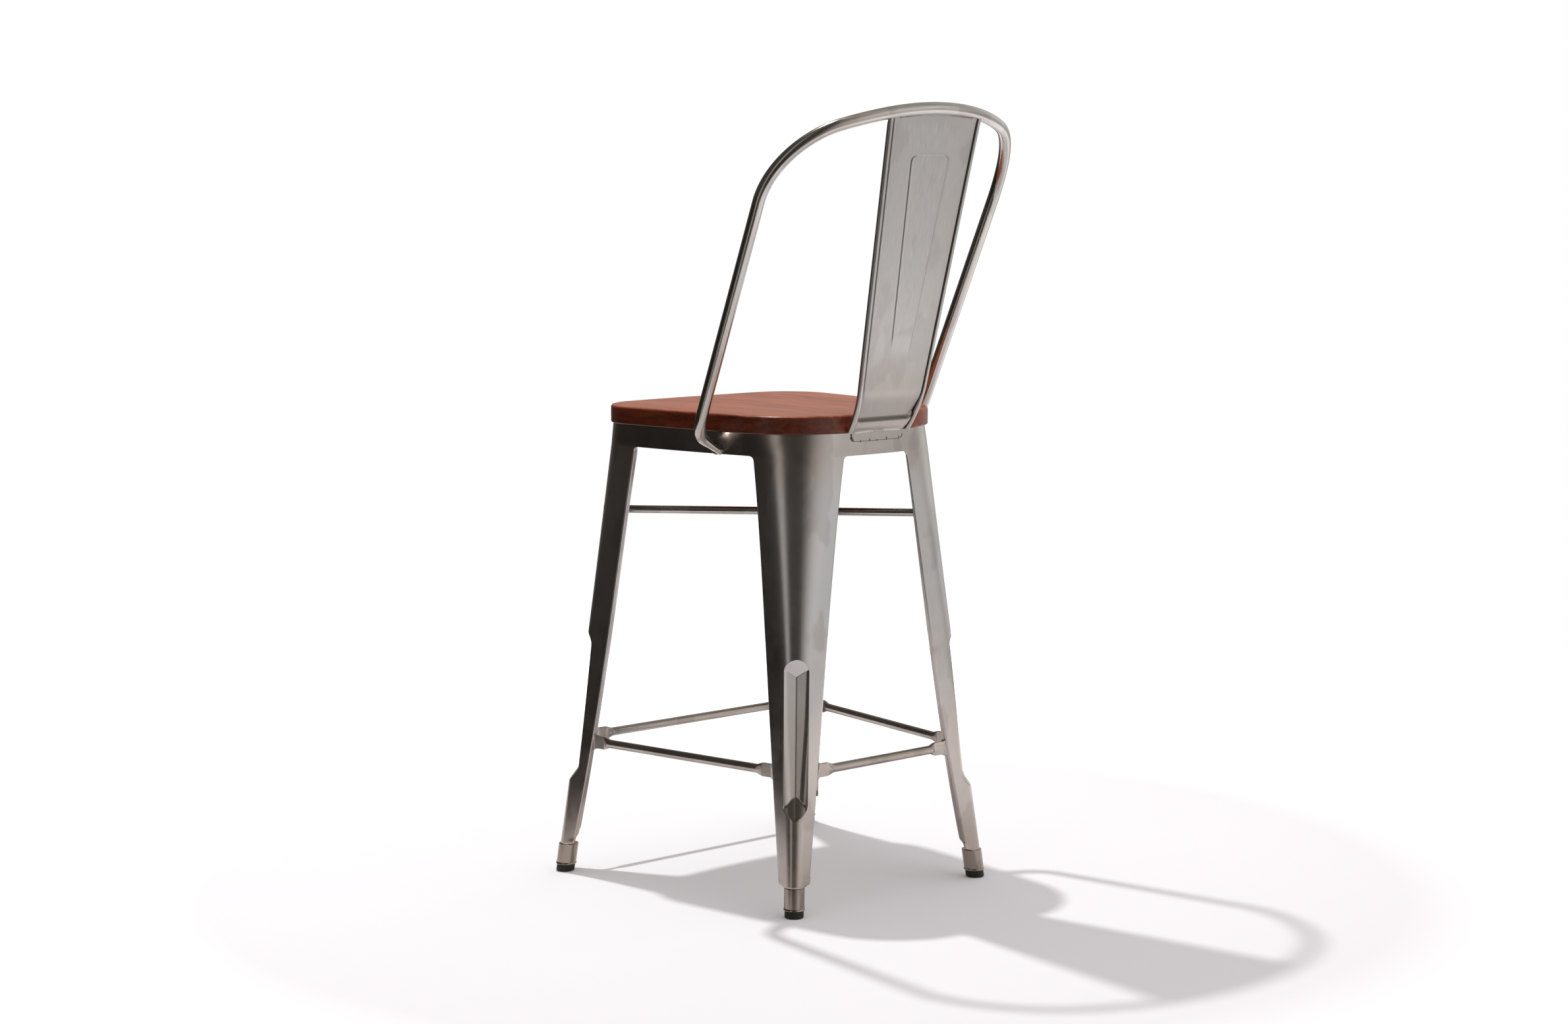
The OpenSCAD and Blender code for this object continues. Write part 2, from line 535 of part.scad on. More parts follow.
// The tube is pressed flat towards its two feet
function press_share(i) = let (s = norm(hoop_line[i] - hook_end),
        m = norm(flip_x(hoop_line[i]) - hook_end), d = min(s, m))
    d > 40 ? 0 : d < 14 ? 1 : (40 - d) / 26;
module back_hoop() {
    n = len(hoop_line);
    lean_normal = unit([0, -1, hoop_lean]);
    function way(i) = unit(hoop_line[min(i + 1, n - 1)] - hoop_line[max(i - 1, 0)]);
    function ring(i) = let (w = way(i), a = unit(cross(w, lean_normal)), b = cross(a, w),
            f = press_share(i), ra = mix(hoop_d / 2, 5, f), rb = mix(hoop_d / 2, 10.5, f))
        [for (j = [0 : hoop_sides - 1]) let (t = 360 * j / hoop_sides)
            hoop_line[i] + a * ra * cos(t) + b * rb * sin(t)];
    function onto_apron(p, w, side) = let (face = [side * apron_out[0], apron_out[1], 0],
            at = side > 0 ? hook_end : flip_x(hook_end))
        p + w * (((at - p) * face - seating) / (w * face));
    rings = [for (i = [0 : n - 1]) i == 0 ? [for (p = ring(0)) onto_apron(p, way(0), 1)]
        : i == n - 1 ? [for (p = ring(n - 1)) onto_apron(p, way(n - 1), -1)] : ring(i)];
    color(steel) polyhedron(points = [for (r = rings) each r],
        faces = concat([backwards(ring_cap(0, hoop_sides))], loft_sides(n, hoop_sides),
            [ring_cap((n - 1) * hoop_sides, hoop_sides)]), convexity = 10);
}

// ---- Back slat: sheet with rolled edges and a raised panel, creased into a tab
tab_face = let (e = wing_end(REAR, 1), r = apron_radius(e, [-e[0], e[1]], end_bow))
    e[1] + r - sqrt(sq(r) - sq(e[0]));
// One row of the slat: height, depth, turn of its face, half width, edge radius, face
// offset, panel rise, panel half width
function slat_depth(z) = slat_y + slat_lean * (z - 700);
function bend_depth(z) = let (s = bend_z - z)
    slat_depth(bend_z) - slat_lean * s - sq(s) / (2 * bend_r);
function panel_width(z) = panel_half - panel_taper * (panel_top - 15 - z);
function body_row(z, rise_share, trim) = [z, slat_depth(z), atan(slat_lean),
    slat_half + slat_widen * (z - 700), roll_r, slat_face, panel_rise * rise_share,
    panel_width(z) - trim];
// Rows between the rolled edges' lower ends and the bend's upper end, with the face's offset
function bend_row(z, face) = [z, bend_depth(z), atan(slat_lean + (bend_z - z) / bend_r),
    mix(roll_end_half, slat_half + slat_widen * (bend_z - 700),
        (z - roll_end) / (bend_z - roll_end)), roll_r, face, 0, panel_width(bend_z + 30)];
function tab_row(z, half) = [z, tab_face + slat_sheet / 2 + tab_gap, 0, half,
    slat_sheet / 2 + 0.02, slat_sheet / 2, 0, panel_width(bend_z + 30), 1];
slat_rows = concat([tab_row(tab_low, tab_half - 2), tab_row(tab_low + 2, tab_half),
        tab_row(roll_end - 1.5, tab_half)],
    [bend_row(roll_end, tab_face + slat_sheet + tab_gap - bend_depth(roll_end)),
     bend_row(roll_end + 6, 0.9), bend_row(crease_z - 2, 1.3), bend_row(crease_z + 1.5, -0.3),
     bend_row(crease_z + 8, -0.1), bend_row(crease_z + 17, 0.4), bend_row(crease_z + 27, 1.2),
     bend_row(crease_z + 36, 2)],
    [body_row(bend_z, 0, 0), body_row(bend_z + 25, 0, 0), body_row(bend_z + 45, 0.35, 0),
     body_row(bend_z + 75, 1, 0), body_row(mix(bend_z, panel_top, 0.5), 1, 0),
     body_row(mix(bend_z, panel_top, 0.78), 1, 0), body_row(panel_top - 9, 1, 0),
     body_row(panel_top - 5, 1, 1.3), body_row(panel_top - 2, 1, 4),
     body_row(panel_top, 1, 8), body_row(panel_top + 3, 0, 9),
     body_row(panel_top + panel_margin, 0, 9)]);
function roll(a, r) = [r * cos(a), r * sin(a)];
function slat_half_row(q) = let (w = q[3], b = q[4], f = q[5], g = f - slat_sheet,
        top = f + q[6], pw = q[7], s = b / roll_r, c = [w, 0],
        low = 180 - asin(max(-0.95, min(0.95, g / b))))
    [[0, top], [pw - 2, top], [pw + 2, f], [w - 7, f], [w - 4.4 * s, f + 0.2 * s],
     c + roll(118, b), c + roll(80, b), c + roll(40, b), c + roll(0, b), c + roll(-40, b),
     c + roll(-80, b), c + roll(-125, b), c + roll(low, b), [w - 7, g], [pw + 2, g],
     [pw - 2, g + q[6]], [0, g + q[6]]];
function slat_section(q) = let (h = slat_half_row(q), n = len(h))
    concat(h, [for (i = [n - 2 : -1 : 1]) [-h[i][0], h[i][1]]]);
// The tab follows the bow of the rear apron
function tab_bow(x) = let (e = wing_end(REAR, 1), r = apron_radius(e, [-e[0], e[1]], end_bow))
    r - sqrt(sq(r) - sq(x));
function slat_point(q, p) = [p[0], q[1] + p[1] * cos(q[2]) - (len(q) > 8 ? tab_bow(p[0]) : 0),
    q[0] - p[1] * sin(q[2])];
// The top edge follows the underside of the hoop's tube
function tube_under(x, y) = let (z = hoop_crown - crown_r + sqrt(sq(crown_r) - sq(x)),
        d = y - hoop_depth(x, z))
    z - sqrt(max(sq(hoop_d / 2) - sq(d), 1)) + seating;
top_row = let (z = hoop_crown - hoop_d / 2 - 2) body_row(z, 0, 9);
module back_slat() {
    rings = concat([for (q = slat_rows) [for (p = slat_section(q)) slat_point(q, p)]],
        [[for (p = slat_section(top_row)) let (v = slat_point(top_row, p))
            [v[0], v[1], tube_under(v[0], v[1])]]]);
    n = len(rings[0]);
    m = (n + 2) / 2;
    // Each end is closed by strips between the two faces
    function opposite(j) = m - 1 - j;
    half = floor(m / 2);
    function cap(first) = concat([for (j = [0 : half - 2]) each
        [[first + j, first + j + 1, first + opposite(j + 1)],
         [first + j, first + opposite(j + 1), first + opposite(j)],
         [first + (n - j) % n, first + n - opposite(j), first + n - opposite(j + 1)],
         [first + (n - j) % n, first + n - opposite(j + 1), first + n - j - 1]]],
        [[first + half - 1, first + half, first + half + 1],
         [first + n - half + 1, first + n - half - 1, first + n - half]]);
    color(steel) polyhedron(points = [for (r = rings) each r],
        faces = concat([for (f = cap(0)) backwards(f)], loft_sides(len(rings), n),
            cap((len(rings) - 1) * n)), convexity = 8);
}

// ---- Wood seat, ring plate and screws
function arc_corner(p, a, b, r, n) = let (u = unit(a - p), v = unit(b - p),
        half = acos(u * v) / 2, c = p + unit(u + v) * r / sin(half),
        s = p + u * r / tan(half) - c, e = p + v * r / tan(half) - c,
        a0 = atan2(s[1], s[0]), a1 = atan2(e[1], e[0]), da = (a1 - a0 + 720) % 360)
    [for (i = [0 : n]) c + r * [cos(a0 + da * i / n), sin(a0 + da * i / n)]];
function split(a, b, n) = [for (i = [1 : n - 1]) mix(a, b, i / n)];
function seat_outline(cut) = let (f = seat_front_half - cut, b = seat_rear_half - cut,
        y0 = -seat_front_y + cut, y1 = seat_rear_y - cut,
        p = [[f, y0], [b, y1], [-b, y1], [-f, y0]], rf = seat_front_r - cut,
        rr = seat_rear_r - cut, q = [for (i = [0 : 3])
            arc_corner(p[i], p[(i + 3) % 4], p[(i + 1) % 4], i % 3 == 0 ? rf : rr, 9)],
        flat = [for (i = [0 : 3]) each concat(q[i],
            split(q[i][9], q[(i + 1) % 4][0], i % 2 == 0 ? 5 : 4))],
        mid = (y0 + y1) / 2, half = (y1 - y0) / 2)
    [for (v = flat) let (w = mix(f, b, (v[1] - y0) / (y1 - y0)), e = (v[1] - mid) / half)
        [v[0] + seat_side_bow * v[0] / w * max(1 - sq(e), 0),
         v[1] + (e > 0 ? seat_rear_bow : -seat_front_bow) * sq(e)
            * max(1 - sq(v[0] / w), 0)]];
seat_top = apron_top + seat_thick;
module seat_body() {
    r = seat_edge_r;
    low = r * 0.5;
    levels = [[apron_top, low], [apron_top + low * 0.3, low * 0.3], [apron_top + low, 0],
        [seat_top - r, 0], [seat_top - r * 0.62, r * 0.08], [seat_top - r * 0.29, r * 0.29],
        [seat_top - r * 0.08, r * 0.62], [seat_top, r]];
    rings = [for (s = levels) [for (p = seat_outline(s[1])) [p[0], p[1], s[0]]]];
    n = len(rings[0]);
    polyhedron(points = [for (q = rings) each q],
        faces = concat([backwards(ring_cap(0, n))], loft_sides(len(rings), n),
            [ring_cap((len(rings) - 1) * n, n)]), convexity = 4);
}
screw_at = [[128, -142], [104, 138], [-104, 138], [-128, -142]];
module screw_holes(d, low, high) {
    for (p = screw_at) translate([p[0], p[1], low]) cylinder(d = d, h = high - low, $fn = 24);
}
ring_low = apron_top - sheet;
module wood_seat() {
    color(wood) difference() {
        seat_body();
        screw_holes(screw_d, apron_top - 1, ring_low + screw_length);
    }
}
// Outline of the space inside legs and aprons, from the legs' inner faces
function inner_corner(k, flip) = let (o = leg_outline(k, apron_top),
        v = [for (i = [20 : 34]) leg_point(k, apron_top, o[i])])
    [for (i = [0 : 14]) flip ? flip_x(v[i]) : v[14 - i]];
function grown(v, by) = [for (p = v) [p[0], p[1]] + unit([p[0], p[1]]) * by];
module seat_ring() {
    outline = grown(concat(inner_corner(FRONT, false), inner_corner(REAR, false),
        inner_corner(REAR, true), inner_corner(FRONT, true)), seating);
    color(dark_steel) translate([0, 0, ring_low]) linear_extrude(sheet) difference() {
        polygon(outline);
        polygon([for (p = outline) p * (1 - ring_width / norm(p))]);
        for (p = screw_at) translate(p) circle(d = screw_d, $fn = 24);
    }
}
module seat_screws() {
    color(dark_steel) for (p = screw_at) translate([p[0], p[1], 0]) {
        translate([0, 0, ring_low]) cylinder(d = screw_d, h = screw_length, $fn = 24);
        translate([0, 0, ring_low - 2.6]) difference() {
            cylinder(d1 = screw_head_d * 0.72, d2 = screw_head_d, h = 2.6, $fn = 24);
            translate([0, 0, -0.1]) cylinder(d = 3.2, h = 1.4, $fn = 6);
        }
    }
}

// Shift that puts the origin in the middle of the plan's outline
front_reach = -foot_centre(FRONT, foot_top)[1] + socket_r + socket_rim;
back_reach = hoop_depth(0, hoop_crown) + hoop_d / 2;
plan_shift = (back_reach - front_reach) / 2;

translate([0, -plan_shift, 0]) {
    wood_seat();
    seat_ring();
    seat_screws();
    leg_front_left();
    leg_front_right();
    leg_rear_left();
    leg_rear_right();
    apron_front();
    apron_rear();
    apron_left();
    apron_right();
    brace_rod_upper();
    brace_rod_lower();
    footrest_front();
    footrest_rear();
    footrest_left();
    footrest_right();
    socket_front_left();
    socket_front_right();
    socket_rear_left();
    socket_rear_right();
    foot_front_left();
    foot_front_right();
    foot_rear_left();
    foot_rear_right();
    back_hoop();
    back_slat();
}
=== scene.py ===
"""Looks of the bar stool with footrest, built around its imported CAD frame."""

import functools
import math
import random

import bpy
import numpy as np
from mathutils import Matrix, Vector


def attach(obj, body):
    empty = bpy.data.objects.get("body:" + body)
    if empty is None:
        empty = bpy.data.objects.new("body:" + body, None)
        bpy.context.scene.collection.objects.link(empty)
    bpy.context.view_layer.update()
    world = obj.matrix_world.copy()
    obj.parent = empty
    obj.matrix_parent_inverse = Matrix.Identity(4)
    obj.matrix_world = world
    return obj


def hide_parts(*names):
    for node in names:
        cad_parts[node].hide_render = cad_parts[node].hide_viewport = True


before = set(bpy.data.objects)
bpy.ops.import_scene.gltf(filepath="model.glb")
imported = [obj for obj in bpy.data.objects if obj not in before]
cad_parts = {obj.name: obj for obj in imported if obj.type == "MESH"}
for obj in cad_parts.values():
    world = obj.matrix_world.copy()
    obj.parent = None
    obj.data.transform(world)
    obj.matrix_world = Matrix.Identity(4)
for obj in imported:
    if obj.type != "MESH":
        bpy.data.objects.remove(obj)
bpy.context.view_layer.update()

# ---- Dimensions, in millimetres. Heights are above the floor. Plan places are from the frame's
# datum, which lies plan_shift in front of the origin.
MM = 0.001

# Plan and heights of the frame
FRONT_CORNER, REAR_CORNER = (185.3, -177.4), (132.6, 180.2)
FRONT_TOE, REAR_TOE = (234.1, -203.1), (174.3, 217.4)
SIDE_BOW, END_BOW = math.radians(3.4), math.radians(5.2)
APRON_LOW, APRON_TOP, TOE_HEIGHT, FOOT_TOP = 600.0, 630.4, 39.0, 10.0
FOOTREST_HEIGHT, BRACE_HEIGHT = 187.4, 509.0
LEG_START = TOE_HEIGHT + 1
SEATING, TAB_GAP, APRON_CHAMFER = 0.3, 0.1, 0.35

# Pressed legs; an edge sweeps into the apron above SWEEP_Z
SHEET = 1.6
RIDGE_LOW_R, FRONT_RIDGE_R, REAR_RIDGE_R = 14.5, (51.6, 58.6), (82.7, 101.0)
HALF_ANGLE_LOW, RIDGE_GROWTH, ANGLE_GROWTH = math.radians(37.5), 1.9, 0.67
LEG_BOW, WAIST, SPREAD_LOW, FLANGE_TOP, SWEEP_R = 1.15, 1.9, 21.5, 76.0, 6.0
WAIST_SCALE = 9.48
SWEEP_Z = APRON_LOW - SWEEP_R
FOLD_DEPTH, END_FOLD_LOW, END_FOLD_HIGH = 7.0, 9.5, 2.1
FOLD_END_TOP, FOLD_END_LOW, FOLD_FROM, FOLD_GROWTH = 0.4, 0.7, 11.0, 7.0
SIDE_ROLL_R, END_ROLL_R, SWEEP_ROLL_R = 2.4, 4.5, 0.3
TOE_SLOPE, TOE_FLAT, TOE_FADE = 0.45, 12.5, 12.0

# Pressed groove: a crease between two walls, a round bowl above, a pointed arch below
GROOVE_LOW, GROOVE_HIGH, GROOVE_HALF, GROOVE_FALL, GROOVE_ARCH = 128.0, 337.0, 16.6, 0.35, 20.0
CREASE_SOFT, RIM_SOFT, BOWL_SOFT, SIDE_SOFT = 0.6, 0.7, 0.6, 0.5
RIM_DROP, RIM_SLOPE, BOWL_HIGH_SLOPE, BOWL_LOW_SLOPE = 1.0, 1.3, 0.49, 0.6
ARCH_R = (GROOVE_HALF**2 + GROOVE_ARCH**2) / (2 * GROOVE_HALF)
ARCH_Z, DOME_Z = GROOVE_LOW + GROOVE_ARCH, GROOVE_HIGH - GROOVE_HALF
GROOVE_MARGIN = 2.0

# Feet, rods and bars
SOCKET_R, SOCKET_WALL, SOCKET_RIM, FOOT_INSET, FOOT_R = 13.75, 2.6, 0.7, 11.5, 12.75
BAR_R, FOOTREST_R, BAR_INSET = 5.5, 6.0, 5.4
PADDLE_HEIGHT, PADDLE_THICK, PADDLE_LENGTH, PADDLE_TAPER = 18.0, 4.4, 21.0, 9.0
FLARE, FLARE_LENGTH = 0.38, 5.0

# Hoop of the back; its sides are HOOP_Y behind the datum at HOOP_REF_Z
HOOP_R, HOOP_CROWN, HOOP_HALF, CROWN_R, SHOULDER_R = 8.0, 1054.3, 215.0, 492.0, 100.0
SHOULDER_ANGLE = math.radians(17)
SIDE_TAPER, HOOK_START, HOOP_Y, HOOP_LEAN, CROWN_BEND = 0.029, 657.0, 77.5, 0.45, 54.0
HOOP_REF_Z, CROWN_POWER = 680.0, 2.6
HOOK_Y, HOOK_Z, HOOK_OUT, HOOK_UP, HOOK_WAY = 46.0, 607.0, 32.0, 34.0, (0.82, 0.12, 0.42)
PRESSED_A, PRESSED_B, PRESSED_POWER, PRESSED_FROM, PRESSED_GROWTH = 5.0, 10.5, 0.62, 40.0, 26.0

# Slat of the back; its width and depth are given at SLAT_REF_Z, its panel's at PANEL_REF_Z
SLAT_SHEET, SLAT_HALF, SLAT_WIDEN, SLAT_Y, SLAT_LEAN = 1.6, 58.9, 0.0605, 220.3, 0.2167
SLAT_REF_Z, PANEL_REF_Z, SLAT_END = 700.0, 979.0, HOOP_CROWN - HOOP_R - 2
ROLL_R, SLAT_FACE, PANEL_RISE, PANEL_HALF, PANEL_TAPER = 3.75, 2.5, 1.4, 33.5, 0.0694
PANEL_TOP, TAB_HALF, TAB_LOW, CREASE_Z, BEND_Z, BEND_R = 994.0, 46.0, 619.0, 647.0, 690.0, 124.0
ROLL_END, ROLL_END_HALF, ROLL_POINTS = 632.0, 53.0, 34
PANEL_LOW, PANEL_FADE, FIELD_FADE = 728.0, 34.0, 34.0
SLIT_DEPTH, CREASE_CORNER, CREASE_STEP, FIELD_LOW = 1.35, 7.0, 2.0, -1.9
PANEL_CORNER, PANEL_WALL, TAB_CORNER = 8.0, 1.2, 4.0
# Painted shade: dark in the slat's crease, lighter on the bend above it, and in the slits by the rolls;
# ROLL_FILM is brown patina along the rolls
CREASE_SHADE, CREASE_SHADE_HALF, BEND_SHADE, ROLL_FILM = 0.74, 2.9, 0.2, 0.13
SLIT_SHADE, WEAK_SLIT_SHADE = (0.8, 0.8, 0.8, 0.75, 0.6, 0.35), 0.3

# Wood seat
SEAT_FRONT_HALF, SEAT_REAR_HALF, SEAT_FRONT_Y, SEAT_REAR_Y = 193.0, 145.3, 184.3, 180.6
SEAT_FRONT_R, SEAT_REAR_R = 63.5, 94.9
SEAT_SIDE_BOW, SEAT_FRONT_BOW, SEAT_REAR_BOW = 4.8, 7.5, 7.7
SEAT_THICK, SEAT_EDGE_R = 24.4, 4.0
SEAT_TOP = APRON_TOP + SEAT_THICK

# Weld beads
BEAD_STEP, RIPPLE, RIPPLE_NOISE, SWELL, SWELL_RATE = 0.45, 0.13, 0.03, 0.12, 0.31


def vec(*v):
    return np.array(v, float)


UP = vec(0, 0, 1)


def unit(v):
    return v / np.linalg.norm(v)


def mix(a, b, t):
    return a + (b - a) * t


def smooth(t):
    t = min(max(t, 0.0), 1.0)
    return t * t * (3 - 2 * t)


def span(a, b, n):
    """Even steps from a on, without b."""
    return [mix(a, b, i / n) for i in range(n)]


def turn_by(v, a):
    return vec(v[0] * math.cos(a) - v[1] * math.sin(a), v[0] * math.sin(a) + v[1] * math.cos(a))


def flip_x(p):
    return vec(-p[0], *p[1:])


def flip_all(points):
    return [flip_x(p) for p in points]


def soft_max(a, b, w):
    """The greater of two levels, rounded over a width w where they cross."""
    return max(a, b) + max(w - abs(a - b), 0) ** 2 / (4 * w)


def soft_min(a, b, w):
    return -soft_max(-a, -b, w)


def leg_share(z):
    """Share of the way from the leg's lower end to the apron."""
    return (z - LEG_START) / (APRON_LOW - LEG_START)


def sweep(z):
    """How far a leg's edge has turned out towards the apron."""
    if z <= SWEEP_Z:
        return 0.0
    return SWEEP_R - math.sqrt(max(SWEEP_R**2 - (min(z, APRON_LOW) - SWEEP_Z) ** 2, 0))


class Leg:
    """One right-hand leg. Its own directions are inward, from the ridge towards the stool's
    middle, and across, towards the next leg counter-clockwise."""

    def __init__(self, rear):
        self.rear = rear
        corner, other = (REAR_CORNER, FRONT_CORNER) if rear else (FRONT_CORNER, REAR_CORNER)
        toe, self.radii = (REAR_TOE, REAR_RIDGE_R) if rear else (FRONT_TOE, FRONT_RIDGE_R)
        self.toe, self.corner = vec(*toe), vec(*corner)
        ways = [vec(-1, 0), unit(vec(*other) - self.corner)][:: 1 if rear else -1]
        bows = (END_BOW, SIDE_BOW) if rear else (SIDE_BOW, END_BOW)
        next_flange, last_flange = turn_by(ways[0], -bows[0]), turn_by(ways[1], bows[1])
        self.inward, self.across = unit(next_flange + last_flange), unit(next_flange - last_flange)
        self.top_angle = math.acos(next_flange @ last_flange) / 2
        self.apron_ridge = self.corner_ridge(self.radii[0])

    def corner_ridge(self, r):
        return self.corner + self.inward * r * (1 / math.sin(self.top_angle) - 1)

    def rise(self, z):
        return min(max(leg_share(z), 0), 1)

    def ridge_r(self, z):
        low, high = self.radii
        if z > APRON_LOW:
            return mix(low, high, min((z - APRON_LOW) / (APRON_TOP - APRON_LOW), 1))
        return mix(RIDGE_LOW_R, low, self.rise(z) ** RIDGE_GROWTH)

    def ridge(self, z):
        if z > APRON_LOW:
            return self.corner_ridge(self.ridge_r(z))
        s = self.rise(z)
        return mix(self.toe, self.apron_ridge, s) + self.inward * LEG_BOW * 4 * s * (1 - s)

    def half_angle(self, z):
        return mix(HALF_ANGLE_LOW, self.top_angle, self.rise(z) ** ANGLE_GROWTH)

    def spread(self, z):
        """Distance across from the ridge to an edge, before its sweep."""
        s = self.rise(z)
        plain = mix(SPREAD_LOW, FLANGE_TOP * math.sin(self.top_angle), s)
        return plain - WAIST * WAIST_SCALE * s**3 * (1 - s)

    def on_side(self, side):
        """Whether an edge belongs to the side flange, not to the front or rear one."""
        return (side > 0) != self.rear

    def fold(self, side, z):
        full = FOLD_DEPTH if self.on_side(side) else mix(END_FOLD_LOW, END_FOLD_HIGH, self.rise(z))
        if z > SWEEP_Z:
            return mix(full, SHEET + FOLD_END_TOP, math.sqrt(sweep(z) / SWEEP_R))
        return mix(SHEET + FOLD_END_LOW, full, smooth((z - TOE_HEIGHT - FOLD_FROM) / FOLD_GROWTH))

    def fold_r(self, side, z):
        """Bend radius of the fold: the rolled edge of a front or rear flange is rounder."""
        round_r = SIDE_ROLL_R if self.on_side(side) else END_ROLL_R
        if z > SWEEP_Z:
            round_r = mix(round_r, SWEEP_ROLL_R, sweep(z) / SWEEP_R)
        return min(round_r, self.fold(side, z) - 0.2)

    def plain_depth(self, z, t):
        """Depth of the leg's outer face without the groove, at t across from the ridge."""
        r, a = self.ridge_r(z), self.half_angle(z)
        t = abs(t)
        if t < r * math.cos(a):
            return r - math.sqrt(r * r - t * t)
        return r - r * math.sin(a) + (t - r * math.cos(a)) / math.tan(a)

    def groove_depth(self, z, t):
        """Depth of the groove's walls, soft at the crease and where walls and ends meet."""
        p = self.plain_depth(z, t)
        soft = math.sqrt(t * t + CREASE_SOFT**2) - CREASE_SOFT
        wall = self.plain_depth(z, GROOVE_HALF) + RIM_DROP + GROOVE_FALL * (GROOVE_HALF - soft)
        inside = min(abs(t), GROOVE_HALF - 0.02)
        below_top = DOME_Z + math.sqrt(GROOVE_HALF**2 - inside**2) - z
        above_tip = z - ARCH_Z + math.sqrt(ARCH_R**2 - (inside + ARCH_R - GROOVE_HALF) ** 2)
        bowls = p + min(BOWL_HIGH_SLOPE * below_top, BOWL_LOW_SLOPE * above_tip)
        side = p + RIM_SLOPE * (GROOVE_HALF - abs(t))
        return soft_min(soft_min(wall, bowls, BOWL_SOFT), side, SIDE_SOFT)

    def outer_depth(self, z, t):
        p = self.plain_depth(z, t)
        if not GROOVE_LOW - GROOVE_MARGIN < z < GROOVE_HIGH + GROOVE_MARGIN:
            return p
        return soft_max(p, self.groove_depth(z, abs(t)), RIM_SOFT)

    def edge(self, z):
        a, h = self.half_angle(z), self.spread(z)
        return vec(h, self.plain_depth(z, h)) + sweep(z) * vec(math.sin(a), math.cos(a))

    def point(self, z, t, n, lift=0.0):
        xy = self.ridge(z) + self.across * t + self.inward * n
        return vec(*xy, z + lift)

    def fold_point(self, side, z, depth):
        a = self.half_angle(z)
        q = self.edge(z) + vec(-math.cos(a), math.sin(a)) * depth
        return self.point(z, side * q[0], q[1])

    def fold_normal(self, side, z):
        a, b = self.fold_point(side, z - 9, 3), self.fold_point(side, z + 9, 3)
        m = unit(np.cross(b - a, self.fold_point(side, z, 8) - a))
        return m if m @ vec(*self.inward, 0) > 0 else -m

    def foot_centre(self, z):
        p = mix(self.toe, self.apron_ridge, leg_share(z)) + self.inward * FOOT_INSET
        return vec(*p, z)


def rim_half(z):
    """Half width of the groove's rim at height z."""
    if not GROOVE_LOW < z < GROOVE_HIGH:
        return 0.0
    if z < ARCH_Z:
        return math.sqrt(ARCH_R**2 - (z - ARCH_Z) ** 2) - ARCH_R + GROOVE_HALF
    if z > DOME_Z:
        return math.sqrt(GROOVE_HALF**2 - (z - DOME_Z) ** 2)
    return GROOVE_HALF


rear_leg, front_leg = Leg(True), Leg(False)
leg_places = [(f"{part}_{side}", leg, side == "left")
              for leg, part in ((rear_leg, "rear"), (front_leg, "front")) for side in ("right", "left")]
crown_at = HOOP_CROWN - CROWN_R
shoulder_x = (CROWN_R - SHOULDER_R) * math.sin(SHOULDER_ANGLE)
shoulder_z = crown_at + (CROWN_R - SHOULDER_R) * math.cos(SHOULDER_ANGLE)


def hoop_depth(x, z):
    """Distance of the hoop's axis behind the datum."""
    bend = 1 - min(abs(x) / HOOP_HALF, 1) ** CROWN_POWER
    return HOOP_Y + HOOP_LEAN * (z - HOOP_REF_Z) + CROWN_BEND * bend


front_reach = -front_leg.foot_centre(FOOT_TOP)[1] + SOCKET_R + SOCKET_RIM
back_reach = hoop_depth(0, HOOP_CROWN) + HOOP_R
plan_shift = (back_reach - front_reach) / 2


# ---- Meshes
def distances(line):
    """Length of a line up to each of its points."""
    return np.concatenate([[0], np.cumsum(np.linalg.norm(np.diff(line, axis=0), axis=1))])


def place(points):
    """Millimetres from the datum to metres from the origin."""
    return (points - vec(0, plan_shift, 0)) * MM


def piece(name, surface, material, nodes=(), sharp=32, patina_and_shade=None):
    """One object from points in millimetres, faces and flow, a flat coordinate for each corner
    of a face; patina_and_shade is a share for each point, of patina or of painted shade,
    sharp the angle from which edges stay sharp."""
    points, faces, flow = surface
    mesh = bpy.data.meshes.new(name)
    mesh.from_pydata(place(points).tolist(), [], faces)
    if flow is not None:
        layer = mesh.uv_layers.new(name="flow")
        flat = np.array([c for f in flow for c in f], np.float32) * MM
        layer.data.foreach_set("uv", flat.ravel())
    if patina_and_shade is not None:
        mesh.attributes.new("patina_and_shade", "FLOAT", "POINT").data.foreach_set("value", patina_and_shade)
    mesh.validate()
    mesh.update()
    mesh.shade_smooth()
    mesh.set_sharp_from_angle(angle=math.radians(sharp))
    mesh.materials.append(material)
    obj = bpy.data.objects.new(name, mesh)
    bpy.context.scene.collection.objects.link(obj)
    if nodes:
        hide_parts(*nodes)
    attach(obj, "root")


def loft(rings, caps=True):
    """Points, faces and flow coordinates of a surface through rings of equal length."""
    rings = [np.asarray(r, float) for r in rings]
    n, count = len(rings[0]), len(rings)
    points = np.concatenate(rings)
    middle = rings[count // 2]
    around = distances(np.vstack([middle, middle[:1]]))
    along = distances([r.mean(0) for r in rings])
    faces, flow = [], []
    for i in range(count - 1):
        for j in range(n):
            a, b = i * n + j, i * n + (j + 1) % n
            faces.append((a, b, b + n, a + n))
            flow.append([(around[j], along[i]), (around[j + 1], along[i]),
                         (around[j + 1], along[i + 1]), (around[j], along[i + 1])])
    if caps:
        for first, turn in ((0, -1), ((count - 1) * n, 1)):
            face = [first + j for j in range(n)][::turn]
            faces.append(face)
            flow.append([tuple(points[v][:2]) for v in face])
    return points, faces, flow


def mirrored(points, faces, flow):
    """The same surface on the other side of x = 0."""
    return points * (-1, 1, 1), [f[::-1] for f in faces], [f[::-1] for f in flow]


def merge(parts):
    """One set of points, faces and flow from several."""
    points, faces, flow, base = [], [], [], 0
    for p, f, w in parts:
        points.append(p)
        faces += [tuple(base + v for v in face) for face in f]
        flow += w
        base += len(p)
    return np.concatenate(points), faces, flow


